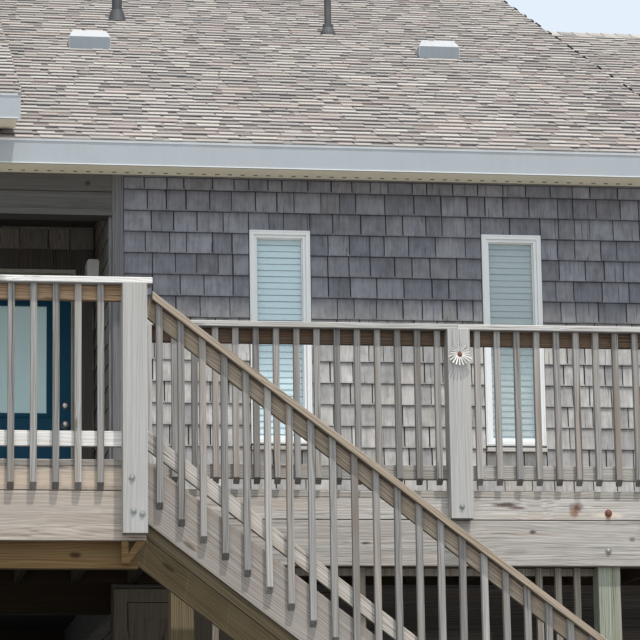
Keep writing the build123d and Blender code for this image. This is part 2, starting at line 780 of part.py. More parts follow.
def joist_lines(x0, x1):
    """Left sides of joists between two ends, at most one pitch apart."""
    count = math.ceil((x1 - x0 - lumber_t) / joist_pitch)
    return [x0 + (x1 - x0 - lumber_t) * i / count for i in range(count + 1)]


def board_groove(y):
    """Groove between the upper and the lower board of a rim whose face is at y."""
    joint = deck_z - lumber_t - width_6
    return block((deck_left, deck_right), (y, y + board_joint_depth),
                 (joint - board_joint / 2, joint + board_joint / 2))


def build_deck(girders):
    top = deck_z - lumber_t
    rim_z = (top - rim_h, top)
    joist_z = (top - width_12, top)
    beam_z = (top - rim_h, top - width_12)
    rim = [block((deck_left, deck_right), (0, lumber_t), rim_z),
           block((deck_left, deck_left + lumber_t), (lumber_t, deck_depth), rim_z),
           block((deck_right - lumber_t, deck_right), (lumber_t, right_front), rim_z)]
    add("deck_rim", fused(rim) - board_groove(0.0))
    ledger = [block((deck_left + lumber_t, main_right), (deck_depth - lumber_t, deck_depth), joist_z),
              block((main_right, deck_right - lumber_t), (right_front - lumber_t, right_front), joist_z)]
    joists = []
    for x in joist_lines(deck_left + lumber_t, deck_right - lumber_t):
        beyond = x > main_right
        straddles = not beyond and x + lumber_t > main_right
        if straddles:
            x = main_right
            beyond = True
        end = right_front - lumber_t if beyond else deck_depth - lumber_t
        joists.append(block((x, x + lumber_t), (lumber_t, end), joist_z))
    beam = block((deck_left + lumber_t, deck_right - lumber_t), (lumber_t, lumber_t + width_4), beam_z)
    beam_y = -landing_depth + lumber_t + landing_beam_setback
    landing_beam = block((deck_left + lumber_t, landing_right - lumber_t), (beam_y, beam_y + 2 * lumber_t),
                         (joist_z[0] - width_12, joist_z[0]))
    add("beams", beam, landing_beam, *ledger, *girders)
    decking = [block((deck_left, deck_right), (0, deck_depth), (top, deck_z)),
               block((main_right, deck_right), (deck_depth, right_front), (top, deck_z))]
    add("deck_decking", fused(decking))

    y = (-landing_depth, -landing_depth + lumber_t)
    landing_rim = [block((deck_left, landing_right), y, rim_z),
                   block((deck_left, deck_left + lumber_t), (y[1], 0), rim_z),
                   block((landing_right - lumber_t, landing_right), (y[1], 0), rim_z)]
    add("landing_rim", fused(landing_rim) - board_groove(y[0]))
    add("landing_bracket", landing_bracket())
    for x in joist_lines(deck_left + lumber_t, landing_right - lumber_t)[1:-1]:
        joists.append(block((x, x + lumber_t), (y[1], 0), joist_z))
    add("joists", *joists)
    add("landing_decking", block((deck_left, landing_right), (-landing_depth, 0), (top, deck_z)))

    posts = [block((x, x + post_w), (lumber_t, lumber_t + post_w), (0, beam_z[0])) for x in deck_post_lefts]
    posts += [block((x, x + post_w), (beam_y, beam_y + post_w), (0, joist_z[0] - width_12))
              for x in landing_post_lefts]
    add("deck_posts", *posts)
    build_screen(beam_z[0])


def landing_bracket():
    """Open triangle of a leg and a brace, below the rim at the landing's corner."""
    x0, x1 = landing_right - post_w, landing_right
    high = deck_z - lumber_t - rim_h
    low = high - bracket_leg
    brace = bracket_t * math.hypot(post_w, bracket_leg) / bracket_leg
    outline = [(x0, high), (x0, low), (x0 + bracket_t, low), (x1, high),
               (x1 - brace, high), (x0 + bracket_t, low + brace), (x0 + bracket_t, high)]
    return along_y(outline, -landing_depth, -landing_depth + lumber_t)


def build_screen(top):
    """Nailer under the deck rim with the pickets that are left."""
    x0 = deck_post_lefts[1] + post_w
    x1 = deck_post_lefts[2]
    y = lumber_t + post_w
    nailer = block((x0, x1), (y - lumber_t, y), (top - width_4 / 2, top))
    picket_y = (y - 2 * lumber_t, y - lumber_t)
    pickets = [block((x, x + baluster_w), picket_y, (0, top)) for x in screen_pickets]
    add("picket_screen", fused([nailer] + pickets))


def origin():
    """Middle of the base of the whole house."""
    x = (left.roof_left - trim_t + right.roof_right + trim_t) / 2
    front = -landing_depth - post_proud
    return Pos(-x, -(front + mirror_y(left.eave - trim_t)) / 2, 0)


windows = list_windows()
build_store(windows)
build_walls(windows)
build_windows(windows)
build_floor()
build_entry_door()
build_roofs(build_porch())
build_roof_fittings()
build_deck(build_foundation())
build_rails()
build_stair()

os.makedirs("parts", exist_ok=True)
move = origin()
for name, solids in nodes.items():
    placed = [move * solid for solid in solids]
    shape = placed[0] if len(placed) == 1 else Compound(children=placed)
    shape.label = name
    export_step(shape, f"parts/{name}.step")
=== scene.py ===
import math
import random

import bmesh
import bpy
from mathutils import Matrix, Vector


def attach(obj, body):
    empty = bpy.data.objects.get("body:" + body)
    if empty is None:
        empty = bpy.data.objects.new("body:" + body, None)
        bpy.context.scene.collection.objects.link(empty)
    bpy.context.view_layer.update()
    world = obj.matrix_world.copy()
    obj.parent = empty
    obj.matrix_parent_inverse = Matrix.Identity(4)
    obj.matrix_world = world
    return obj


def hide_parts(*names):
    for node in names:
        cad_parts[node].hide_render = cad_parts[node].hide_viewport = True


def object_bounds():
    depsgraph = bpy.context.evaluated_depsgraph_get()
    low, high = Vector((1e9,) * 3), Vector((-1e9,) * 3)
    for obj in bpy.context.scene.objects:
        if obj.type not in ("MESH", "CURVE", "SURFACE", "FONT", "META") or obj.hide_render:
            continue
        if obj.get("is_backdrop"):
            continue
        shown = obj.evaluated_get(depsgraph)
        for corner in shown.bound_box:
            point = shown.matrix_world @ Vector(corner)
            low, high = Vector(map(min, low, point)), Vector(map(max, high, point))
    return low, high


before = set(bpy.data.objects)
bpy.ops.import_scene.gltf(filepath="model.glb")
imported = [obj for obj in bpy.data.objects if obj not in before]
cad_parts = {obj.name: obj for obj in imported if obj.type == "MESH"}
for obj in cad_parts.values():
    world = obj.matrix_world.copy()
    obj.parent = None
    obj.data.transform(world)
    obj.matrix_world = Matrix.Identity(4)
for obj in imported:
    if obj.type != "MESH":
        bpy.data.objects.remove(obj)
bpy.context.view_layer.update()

# House coordinates in millimetres, as in the CAD: X = 0 at the post right of the stair,
# Y = 0 at the deck rim, Z = 0 at the ground. Everything is moved to the row frame in metres.
to_row = Vector((685.0, -7441.225, 0.0))
X, Y, Z = Vector((1, 0, 0)), Vector((0, 1, 0)), Vector((0, 0, 1))

# Sizes shared with the CAD: lumber
lumber_t, trim_t, baluster_w, post_w, piling_w = 38.1, 19.05, 38.1, 139.7, 203.0
width_4, width_6, width_12 = 88.9, 139.7, 285.75

# Deck, landing and stair
riser, tread_run, riser_count = 190.5, 249.0, 16
deck_z = riser * riser_count
deck_left, deck_right, deck_depth = -4156.7, 4092.7, 2400.0
landing_right, landing_depth = -2028.0, 1245.0
stair_head_post, rail_bay = -2014.0, 1989.0
under_posts = (-1750.0, 925.0, 3600.0)
cap_height, cap_lip, bottom_rail_z = 1046.0, 34.0, 74.0
baluster_pitch, stair_baluster_pitch = 127.0, tread_run / 2
stair_slope = riser / tread_run
stair_length = math.hypot(1.0, stair_slope)
stair_foot = landing_right + tread_run * (riser_count - 1)

# Blocks, walls and roofs
wall_foot = deck_z + 76.0 - 305.0
house_left, left_block_right, main_left, main_right, house_right = -6858.0, -3200.0, -1893.0, 2135.0, 5793.0
main_depth, porch_depth, store_depth, right_setback = 13200.0, 1338.0, 4877.0, 670.0
right_front = deck_depth + right_setback
porch_back, store_back = deck_depth + porch_depth, deck_depth + store_depth
back_y, ridge_y = deck_depth + main_depth, deck_depth + main_depth / 2
wall_t, roof_t, roof_ratio, soffit_drop, piling_inset = 165.0, 150.0, 0.475, 178.0, 102.0
slope_length = math.hypot(1.0, roof_ratio)

# Vents and pipes on the main roof: x, distance behind the eave, and for the pipes their boots' two radii
vent_places = ((-1783.0, 3535.0), (1154.0, 3565.0))
pipe_places = ((-1423.0, 5034.0, 78.0, 53.0), (386.0, 4633.0, 70.0, 46.0))

# Doors and windows
entry_left, entry_right, entry_border, entry_hole_h = -2977.0, -2063.0, 138.5, 2305.0
entry_hole = (entry_left - entry_border, entry_right + entry_border, deck_z, deck_z + entry_hole_h)
store_door_left, store_door_right, store_door_top = -1790.0, -977.0, 2598.0
window_w, window_h, window_low, sill_h, sill_proud = 433.0, 1528.0, deck_z + 656.0, 45.0, 45.0
front_window_lefts = (-922.0, 753.0)

# Shingle courses: exposure, overlap, and the butt at which the eave's shade ends
exposure, lap = 152.4, 12.0
butt_anchor = deck_z + 1551.0
corner_w, corner_t, band_h = 80.0, 22.0, 120.0


def mirror_y(y):
    """The same distance behind the ridge as y is in front of it."""
    return 2 * ridge_y - y


def rail_post(i):
    """Left side of the deck's front rail posts, from the stair on."""
    return stair_head_post + rail_bay * i


def rectangle(a0, b0, a1, b1):
    return [(a0, b0), (a1, b0), (a1, b1), (a0, b1)]


class Roof:
    """One gabled block's roof: its extent, its soffit and the height of its top at any y."""

    def __init__(self, left, right, front, hang, top):
        self.left, self.right, self.front = left, right, front
        self.eave = front - hang
        self.top = deck_z + top
        self.soffit = self.top - soffit_drop

    def height(self, y, drop=0.0):
        return self.top + roof_ratio * (ridge_y - abs(y - ridge_y) - self.eave) - drop


right_back_y = mirror_y(right_front)
gable_hang, eave_hang, eave_top = 305.0, 320.0, 2741.0
left_hang, left_eave_top = 610.0, 2980.0
main_roof = Roof(left_block_right, main_right + gable_hang, deck_depth, eave_hang, eave_top)
left_roof = Roof(house_left - left_hang, left_block_right + left_hang, deck_depth, left_hang, left_eave_top)
right_roof = Roof(main_right, house_right + gable_hang, right_front, eave_hang, eave_top)
roofs = (main_roof, left_roof, right_roof)


# Mesh making

class Piece:
    """Mesh under construction in house millimetres; each point keeps grain coordinates in metres."""

    def __init__(self, name, seed=1):
        self.name = name
        self.verts, self.faces, self.grain = [], [], []
        self.rng = random.Random(seed)

    def offset(self):
        return Vector((self.rng.uniform(0, 40), self.rng.uniform(0, 9), self.rng.uniform(0, 9)))

    def add(self, points, faces, grain):
        base = len(self.verts)
        self.verts.extend(points)
        self.grain.extend(grain)
        self.faces.extend([tuple(base + i for i in face) for face in faces])

    def prism(self, low, high, along=Z, across=X):
        """Closed solid between two outlines with as many points; grain runs along."""
        n = len(low)
        shift = self.offset()
        third = along.cross(across)
        points = [Vector(p) for p in list(low) + list(high)]
        grain = [Vector((p.dot(along), p.dot(across), p.dot(third))) / 1000 + shift for p in points]
        faces = [tuple(range(n)), tuple(range(n, 2 * n))]
        faces += [(i, (i + 1) % n, n + (i + 1) % n, n + i) for i in range(n)]
        self.add(points, faces, grain)

    def box(self, x, y, z):
        low, high = ([(a, b, c) for a, b in rectangle(x[0], y[0], x[1], y[1])] for c in z)
        self.prism(low, high, X, Z)

    def board(self, start, along, across, length, wide, thick, ends=((0, 0), (0, 0)), ease=3.0, bow=0.0):
        """Sawn board with eased edges. ends skew the two cuts by across and thickness."""
        up = along.cross(across)
        section = [(ease, 0), (wide - ease, 0), (wide, ease), (wide, thick - ease), (wide - ease, thick),
                   (ease, thick), (0, thick - ease), (0, ease)]
        rings = 5 if bow else 2
        shift = self.offset()
        bend = (self.rng.uniform(-bow, bow), self.rng.uniform(-bow, bow))
        points, grain, faces = [], [], []
        for k in range(rings):
            s = k / (rings - 1)
            swell = 4 * s * (1 - s)
            for a, b in section:
                skew = (1 - s) * (ends[0][0] * a + ends[0][1] * b) + s * (ends[1][0] * a + ends[1][1] * b)
                p = Vector((s * length + skew, a, b))
                grain.append(p / 1000 + shift)
                points.append(Vector(start) + along * p.x + across * (a + bend[0] * swell)
                              + up * (b + bend[1] * swell))
        for k in range(0, 8 * rings - 8, 8):
            faces += [(k + i, k + (i + 1) % 8, k + 8 + (i + 1) % 8, k + 8 + i) for i in range(8)]
        faces += [tuple(range(8)), tuple(range(8 * rings - 8, 8 * rings))]
        self.add(points, faces, grain)

    def plank(self, x, y, z, ease=3.0):
        """Level board that fills a box, with its grain along the longer of its two level sides."""
        wide, deep, high = x[1] - x[0], y[1] - y[0], z[1] - z[0]
        if wide > deep:
            self.board((x[0], y[0], z[0]), X, Y, wide, deep, high, ease=ease)
        else:
            self.board((x[0], y[0], z[0]), Y, Z, deep, high, wide, ease=ease)

    def lathe(self, centre, axis, profile, sides):
        """Turned piece: profile of (radius, height) along an axis, closed at both ends."""
        side = axis.orthogonal().normalized()
        other = axis.cross(side)
        points, faces = [], []
        for radius, height in profile:
            for i in range(sides):
                turn = 2 * math.pi * i / sides
                points.append(Vector(centre) + axis * height
                              + (side * math.cos(turn) + other * math.sin(turn)) * radius)
        faces = [tuple(range(sides)), tuple(range(len(points) - sides, len(points)))]
        for k in range(0, len(points) - sides, sides):
            faces += [(k + i, k + (i + 1) % sides, k + sides + (i + 1) % sides, k + sides + i)
                      for i in range(sides)]
        self.add(points, faces, [p / 1000 for p in points])

    def finish(self, material, body="house", slot="weathered_wood", replaces=(), smooth=False, bevel=0.0):
        """The mesh in the row frame, with its material, body and the nodes that it replaces; slot is not
        used.
        """
        mesh = bpy.data.meshes.new(self.name)
        mesh.from_pydata([(p + to_row) / 1000 for p in self.verts], [], self.faces)
        grain = mesh.attributes.new("grain", "FLOAT_VECTOR", "POINT")
        grain.data.foreach_set("vector", [c for g in self.grain for c in g])
        work = bmesh.new()
        work.from_mesh(mesh)
        bmesh.ops.recalc_face_normals(work, faces=work.faces)
        work.to_mesh(mesh)
        work.free()
        obj = bpy.data.objects.new(self.name, mesh)
        bpy.context.scene.collection.objects.link(obj)
        mesh.materials.append(material)
        for polygon in mesh.polygons:
            polygon.use_smooth = smooth
        if bevel:
            soften(obj, bevel)
        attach(obj, body)
        if replaces:
            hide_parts(*replaces)


def soften(obj, width):
    """Small rounded edges by a bevel modifier."""
    bevel = obj.modifiers.new("edges", "BEVEL")
    bevel.width = width / 1000
    bevel.segments = 2
    bevel.limit_method = "ANGLE"
    bevel.angle_limit = math.radians(40)
    bevel.use_clamp_overlap = True


# Material making

class Wire:
    """Output of a shader node; sums, products and quotients of wires are new nodes."""

    def __init__(self, shader, socket):
        self.shader, self.socket = shader, socket

    def __add__(self, other):
        return self.shader.math("ADD", self, other)

    def __sub__(self, other):
        return self.shader.math("SUBTRACT", self, other)

    def __rsub__(self, other):
        return self.shader.math("SUBTRACT", other, self)

    def __mul__(self, other):
        return self.shader.math("MULTIPLY", self, other)

    def __truediv__(self, other):
        return self.shader.math("DIVIDE", self, other)


class Shader:
    """Short names for building the nodes of a material, or of another owner."""

    def __init__(self, name, owner=None):
        self.owner = owner or bpy.data.materials.new(name)
        self.owner.use_nodes = True
        self.tree = self.owner.node_tree
        self.tree.nodes.clear()

    def node(self, kind, inputs=None, out=0, **settings):
        node = self.tree.nodes.new("ShaderNode" + kind)
        for key, value in settings.items():
            setattr(node, key, value)
        for key, value in (inputs or {}).items():
            if isinstance(value, Wire):
                self.tree.links.new(value.socket, node.inputs[key])
            else:
                node.inputs[key].default_value = value
        return Wire(self, node.outputs[out])

    def math(self, operation, a, b=0.0):
        return self.node("Math", {0: a, 1: b}, operation=operation)

    def mix(self, factor, a, b, blend="MIX"):
        return self.node("Mix", {0: factor, 6: colour(a), 7: colour(b)}, out=2, data_type="RGBA",
                         blend_type=blend)

    def ramp(self, factor, stops):
        """Value or colour ramp from (position, colour or number) stops."""
        output = self.node("ValToRGB", {"Fac": factor})
        elements = output.socket.node.color_ramp.elements
        for i, (position, value) in enumerate(stops):
            element = elements[i] if i < 2 else elements.new(position)
            element.position = position
            element.color = colour(value if isinstance(value, tuple) else (value,) * 3)
        return output

    def noise(self, vector, scale, detail=3.0, rough=0.55):
        inputs = {"Vector": vector, "Scale": scale, "Detail": detail, "Roughness": rough}
        return self.node("TexNoise", inputs)

    def streaks(self, vector, factors, detail=3.0, rough=0.55):
        """Noise with its own scale along each axis."""
        scaled = self.node("VectorMath", {0: vector, 1: factors}, operation="MULTIPLY")
        return self.noise(scaled, 1.0, detail, rough)

    def range(self, value, low, high, to_low=0.0, to_high=1.0):
        return self.node("MapRange", {"Value": value, "From Min": low, "From Max": high,
                                      "To Min": to_low, "To Max": to_high})

    def split(self, vector):
        return [Wire(self, socket) for socket in self.node("SeparateXYZ", {0: vector}).socket.node.outputs]

    def join(self, x, y, z):
        return self.node("CombineXYZ", {0: x, 1: y, 2: z})

    def place(self):
        return self.node("TexCoord", out="Object")

    def grain(self):
        return self.node("Attribute", out="Vector", attribute_name="grain")

    def island(self):
        return self.node("NewGeometry", out="Random Per Island")

    def bump(self, height, strength, distance):
        return self.node("Bump", {"Height": height, "Strength": strength, "Distance": distance})

    def times(self, base, factor):
        """Colour multiplied by a number or another colour."""
        if isinstance(factor, Wire) and factor.socket.type == "VALUE":
            factor = self.join(factor, factor, factor)
        return self.mix(1.0, base, factor, "MULTIPLY")

    def spots(self, base, marks):
        """Marks on upright boards: x, z, half width, half height, colour and strength of each."""
        wobble = (self.noise(self.place(), 24.0, 2.0) - 0.5) * 0.9
        x, _, z = self.split(self.place())
        for at_x, at_z, wide, high, tint, strength in marks:
            dx = (x - (at_x + to_row.x) / 1000) / (wide / 1000)
            dz = (z - at_z / 1000) / (high / 1000)
            distance = self.math("SQRT", dx * dx + dz * dz)
            base = self.mix(self.range(distance + wobble, 0.35, 1.0, strength, 0.0), base, tint)
        return base

    def surface(self, base, rough, normal=None, **more):
        """The owner, with this colour, roughness and other inputs of its shader."""
        inputs = {"Base Color": colour(base), "Roughness": rough}
        inputs.update({key.replace("_", " "): value for key, value in more.items()})
        if normal:
            inputs["Normal"] = normal
        self.show("Material", self.node("BsdfPrincipled", inputs, out="BSDF"))
        return self.owner

    def show(self, kind, shader):
        output = self.tree.nodes.new("ShaderNodeOutput" + kind)
        self.tree.links.new(shader.socket, output.inputs["Surface"])


def colour(value):
    """Colour with alpha from three numbers; wires pass through."""
    return value if isinstance(value, Wire) or len(value) == 4 else (*value, 1.0)


def shade(tint, share):
    return tuple(c * share for c in tint)


def grain_vector(s, axis):
    """Grain coordinates: the mesh's own, or the object's along an axis or the stair's slope."""
    if axis is None:
        return s.grain()
    x, y, z = s.split(s.place())
    if axis == "slope":
        x, z = (x - z * stair_slope) / stair_length, (x * stair_slope + z) / stair_length
    return s.join(*{"x": (x, z, y), "y": (y, z, x), "z": (z, x, y), "slope": (x, z, y)}[axis])


def wood(name, pale, dark, warm, axis=None, knots=0.05, checks=0.5, spread=0.22, patch=0.5, marks=(),
         blend=None, deep=None, edge=1.0, rings=0.12):
    """Weathered timber: ring lines, fine grain, drying cracks, knots and a tone for each board.

    blend is (x0, x1, tint): a tint that comes in between two places along X of the row frame.
    deep is (y0, y1, share): a painted difference of light by depth, the share of the tone that is left
    behind y1.
    edge is painted shade, the share of the tone on upright faces; undersides always get a darker painted
    shade.
    """
    s = Shader(name)
    v = grain_vector(s, axis)
    tone = s.island() if axis is None else s.streaks(s.place(), (0.9, 0.9, 0.25), 1.0)
    x, y, z = s.split(v)
    cell = s.node("TexVoronoi", {"Vector": s.join(x * 1.4, y * 5.5, 0.0), "Scale": 1.0}, out="Distance")
    knot = s.ramp(cell, [(0.0, 1.0), (knots, 0.8), (knots * 1.7, 0.0)])
    around = s.ramp(cell, [(0.0, 1.0), (knots * 4 + 0.02, 0.0)])
    y_bent = around * 0.02 + (s.streaks(v, (1.3, 5.0, 5.0), 2.0) * 0.045 + y)
    bent = s.join(x, y_bent, z)
    bands = s.streaks(bent, (0.35, 58.0, 58.0), 4.0, 0.65)
    fine = s.streaks(bent, (1.8, 170.0, 170.0), 2.0, 0.7)
    warp = s.streaks(v, (0.7, 4.0, 4.0), 2.0)
    lines = s.math("SINE", (warp * 0.14 + (z * 0.83 + y_bent)) * 420.0) * 0.5 + 0.5
    crack = s.ramp(s.streaks(bent, (0.9, 85.0, 85.0), 2.0, 0.5),
                   [(0.71 - 0.10 * checks, 0.0), (0.74 - 0.10 * checks, 1.0)])
    rest = 1.0 - rings
    grain = lines * rings + (bands * (0.42 * rest) + fine * (0.58 * rest))
    middle = tuple(0.5 * (a + b) for a, b in zip(pale, dark))
    base = s.ramp(grain, [(0.36, dark), (0.49, middle), (0.63, pale)])
    stain = s.ramp(s.streaks(bent, (0.7, 16.0, 16.0), 3.0, 0.65), [(0.5, 0.0), (0.7, patch)])
    base = s.mix(stain, base, warm)
    base = s.mix(knot * 0.8, base, shade(warm, 0.25))
    base = s.mix(crack * 0.75, base, shade(dark, 0.22))
    base = s.times(base, s.range(tone, 0.0, 1.0, 1.0 - spread, 1.0 + spread))
    # Painted shade by facing: undersides darker, upright faces scaled by edge
    shade_by_facing = s.range(s.split(s.node("NewGeometry", out="True Normal"))[2], -1.0, 1.0)
    base = s.times(base, s.ramp(shade_by_facing, [(0.1, 0.3), (0.3, edge), (0.7, edge), (0.9, 1.0)]))
    if blend:
        x0, x1, tint = blend
        base = s.mix(s.range(s.split(s.place())[0], x0, x1), base, s.times(base, tint))
    # Painted light by depth along Y: the tone scaled by share behind y1
    if deep:
        y0, y1, share = deep
        base = s.times(base, s.range(s.split(s.place())[1], y0, y1, 1.0, share))
    if marks:
        base = s.spots(base, marks)
    return s.surface(base, 0.85, s.bump(grain * 0.8 - crack * 0.9, 0.55, 0.0016), Specular_IOR_Level=0.25)


def cedar(name, eave_weather_and_shade=True):
    """Cedar wall shingles: a tone for each, fine upright grain, a painted shadow under each butt, and
    darker and bluer where the eave shelters them, partly weathering and partly painted shade of the eave.
    """
    s = Shader(name)
    v = s.grain()
    tone = s.island()
    fine, wide = s.streaks(v, (5.0, 170.0, 170.0), 3.0, 0.7), s.streaks(v, (3.0, 42.0, 42.0), 3.0, 0.6)
    grain = fine * 0.5 + wide * 0.5
    cloud = s.streaks(v, (9.0, 12.0, 12.0), 3.0, 0.6)
    base = s.ramp(tone, [(0.0, (0.33, 0.325, 0.33)), (0.5, (0.42, 0.41, 0.405)), (1.0, (0.52, 0.51, 0.50))])
    base = s.mix(s.range(s.math("FRACT", tone * 17.31), 0.72, 1.0, 0.0, 0.35), base, (0.43, 0.385, 0.34))
    base = s.times(base, s.ramp(grain, [(0.3, 0.68), (0.5, 1.0), (0.7, 1.22)]))
    base = s.times(base, s.ramp(cloud, [(0.3, 0.78), (0.5, 1.0), (0.7, 1.15)]))
    split = s.ramp(s.streaks(v, (0.9, 60.0, 60.0), 1.0), [(0.70, 0.0), (0.72, 1.0)])
    base = s.mix(split * 0.5, base, (0.05, 0.05, 0.055))
    z = s.split(s.place())[2]
    course = s.math("FRACT", (z - butt_anchor / 1000) / (exposure / 1000))
    shadow = s.ramp(course, [(0.0, 0.95), (0.12, 1.05), (0.7, 0.98), (0.93, 0.72), (0.97, 0.35)])
    base = s.times(base, shadow)
    # Darker and bluer under the eave: partly weathering, partly painted shade of the eave's shadow
    if eave_weather_and_shade:
        ragged = s.streaks(v, (2.0, 3.0, 3.0), 2.0) * 0.14 + z
        eave_weather_and_shade_mask = s.range(ragged, butt_anchor / 1000 - 0.02, butt_anchor / 1000 + 0.2)
        base = s.mix(eave_weather_and_shade_mask, base, s.times(base, (0.51, 0.53, 0.61)))
    return s.surface(base, 0.88, s.bump(grain, 0.5, 0.002), Specular_IOR_Level=0.2)


def asphalt(name, low, middle, high, blush, shadow):
    """Asphalt shingles: mineral grains, a colour for each tab and a dark band under the next course."""
    s = Shader(name)
    p = s.place()
    tone = s.island()
    blend = s.ramp(tone, [(0.0, low), (0.45, middle), (1.0, high)])
    blend = s.mix(s.range(s.math("FRACT", tone * 23.7), 0.55, 1.0, 0.0, 0.55), blend, blush)
    blend = s.times(blend, s.ramp(s.noise(p, 2.2, 3.0, 0.6), [(0.35, 0.93), (0.65, 1.06)]))
    up, along, _ = s.split(s.grain())
    ragged = s.noise(s.join(0.0, along * 9.0, 0.0), 1.0, 1.0) * 0.02 + up
    dash = s.mix(s.range(s.math("FRACT", tone * 71.3), 0.35, 1.0), (0.03, 0.026, 0.033), (0.22, 0.18, 0.16))
    blend = s.mix(s.range(ragged, 0.098, 0.106) * shadow, blend, dash)
    grains = s.noise(p, 900.0, 1.0, 0.5)
    speckle = s.ramp(grains, [(0.3, 0.55), (0.5, 1.0), (0.72, 1.5)])
    base = s.mix(0.75, blend, s.times(blend, speckle))
    return s.surface(base, 0.95, s.bump(grains, 0.35, 0.001), Specular_IOR_Level=0.15)


def painted(name, base, dirt, rough, amount=0.5, specular=0.5):
    """Painted or moulded surface with faint soiling, streaks and a fine uneven skin."""
    s = Shader(name)
    p = s.place()
    cloud, streak = s.noise(p, 3.0, 4.0, 0.6), s.streaks(p, (30.0, 30.0, 1.2), 3.0, 0.6)
    soil = s.ramp(cloud * (streak + 0.5), [(0.42, 0.0), (0.75, amount)])
    skin = s.noise(p, 260.0, 2.0)
    tone = s.times(s.mix(soil, base, dirt), s.ramp(skin, [(0.3, 0.95), (0.7, 1.03)]))
    roughness = s.range(cloud, 0.3, 0.7, rough - 0.07, rough + 0.1)
    return s.surface(tone, roughness, s.bump(skin + cloud * 0.5, 0.12, 0.0006), Specular_IOR_Level=specular)


def glazing(name, tint, alpha, dust_and_reflection=(0.75, 0.76, 0.74)):
    """Window glass with faint waves and dusty patches; the blue of its tint is painted sky reflection, and
    on the door the patches take that blue too.
    """
    s = Shader(name)
    dust_and_reflection_mask = s.noise(s.place(), 40.0, 4.0, 0.7)
    base = s.mix(s.range(dust_and_reflection_mask, 0.4, 0.8, 0.0, 0.3), tint, dust_and_reflection)
    wave = s.bump(s.noise(s.place(), 2.5, 2.0), 0.05, 0.003)
    return s.surface(base, s.range(dust_and_reflection_mask, 0.3, 0.8, 0.04, 0.12), wave, Alpha=alpha)


def rusty(name, base, amount, metallic):
    """Galvanised or iron hardware that rusts."""
    s = Shader(name)
    cloud = s.noise(s.place(), 60.0, 4.0, 0.7)
    spots = s.ramp(cloud, [(0.62 - 0.3 * amount, 0.0), (0.78 - 0.3 * amount, 1.0)])
    metal = s.mix(s.noise(s.place(), 300.0), base, shade(base, 0.7))
    tone = s.mix(spots, metal, (0.22, 0.075, 0.03))
    return s.surface(tone, s.range(spots, 0.0, 1.0, 0.42, 0.9), s.bump(cloud, 0.4, 0.001),
                     Metallic=(1.0 - spots) * metallic)


# Marks on boards: knots, stains and rust at house millimetres
knot_brown = (0.055, 0.045, 0.04)
rim_marks = (
    (-2950, 2935, 1300, 75, (0.66, 0.52, 0.40), 0.6), (-2950, 2760, 1300, 160, (0.40, 0.355, 0.32), 0.5),
    (991, 2905, 120, 24, (0.80, 0.70, 0.58), 0.8), (991, 2893, 26, 50, (0.30, 0.12, 0.05), 0.6),
    (793, 2957, 52, 42, (0.13, 0.055, 0.03), 0.9), (775, 2915, 34, 34, (0.28, 0.13, 0.08), 0.8),
    (330, 2968, 95, 18, (0.09, 0.06, 0.045), 0.9), (405, 2948, 70, 12, (0.12, 0.08, 0.06), 0.8),
    (508, 2798, 30, 16, knot_brown, 0.85), (-547, 2725, 45, 12, knot_brown, 0.85),
    (1141, 2754, 26, 18, (0.16, 0.15, 0.14), 0.8))
beam_marks = ((-2424, 2513, 45, 22, (0.05, 0.022, 0.012), 0.95),)
header_marks = ((entry_right, 5545, 28, 26, (0.03, 0.03, 0.03), 0.8),)

# Materials; a wood has a pale, a dark and a warm tone
grey_wood = wood("grey_wood", (0.60, 0.585, 0.565), (0.29, 0.27, 0.25), (0.47, 0.38, 0.29), patch=0.35)
cap_wood = wood("cap_wood", (0.63, 0.615, 0.595), (0.34, 0.325, 0.305), (0.50, 0.45, 0.38), patch=0.3)
pale_wood = wood("pale_wood", (0.92, 0.90, 0.88), (0.60, 0.58, 0.55), (0.76, 0.68, 0.58), patch=0.25)
# The decking's upright edges get painted shade through edge
deck_wood = wood("deck_wood", (0.66, 0.62, 0.57), (0.37, 0.33, 0.28), (0.56, 0.45, 0.33), patch=0.3,
                 edge=0.64)
rail_wood = wood("rail_wood", (0.46, 0.445, 0.43), (0.19, 0.18, 0.17), (0.31, 0.23, 0.165), patch=0.65,
                 rings=0.04, spread=0.3)
bottom_wood = wood("bottom_wood", (0.46, 0.435, 0.405), (0.22, 0.20, 0.18), (0.35, 0.28, 0.20), patch=0.35)
stair_rail_wood = wood("stair_rail_wood", (0.62, 0.58, 0.535), (0.29, 0.255, 0.22), (0.48, 0.37, 0.27),
                       patch=0.4)
header_wood = wood("header_wood", (0.133, 0.130, 0.127), (0.082, 0.080, 0.077), (0.115, 0.102, 0.087),
                   knots=0.0, checks=0.1, patch=0.15, spread=0.08, rings=0.06, marks=header_marks)
brown_wood = wood("brown_wood", (0.18, 0.122, 0.085), (0.08, 0.053, 0.036), (0.15, 0.095, 0.058))
warm_wood = wood("warm_wood", (0.53, 0.365, 0.23), (0.25, 0.16, 0.095), (0.38, 0.23, 0.13))
tan_wood = wood("tan_wood", (0.50, 0.42, 0.335), (0.22, 0.168, 0.12), (0.36, 0.26, 0.165))
post_wood = wood("post_wood", (0.555, 0.54, 0.53), (0.36, 0.35, 0.33), (0.46, 0.43, 0.38), axis="z",
                 knots=0.035, checks=0.3, patch=0.3, rings=0.04)
under_post = wood("under_post", (0.29, 0.245, 0.15), (0.13, 0.095, 0.054), (0.20, 0.14, 0.077), axis="z",
                  blend=(-0.5, 0.5, (1.5, 2.0, 2.7)), patch=0.6)
rim_wood = wood("rim_wood", (0.68, 0.645, 0.61), (0.28, 0.25, 0.225), (0.53, 0.42, 0.32), knots=0.045,
                patch=0.4, rings=0.07, marks=rim_marks, blend=(-1.30, -1.33, (0.94, 0.87, 0.80)))
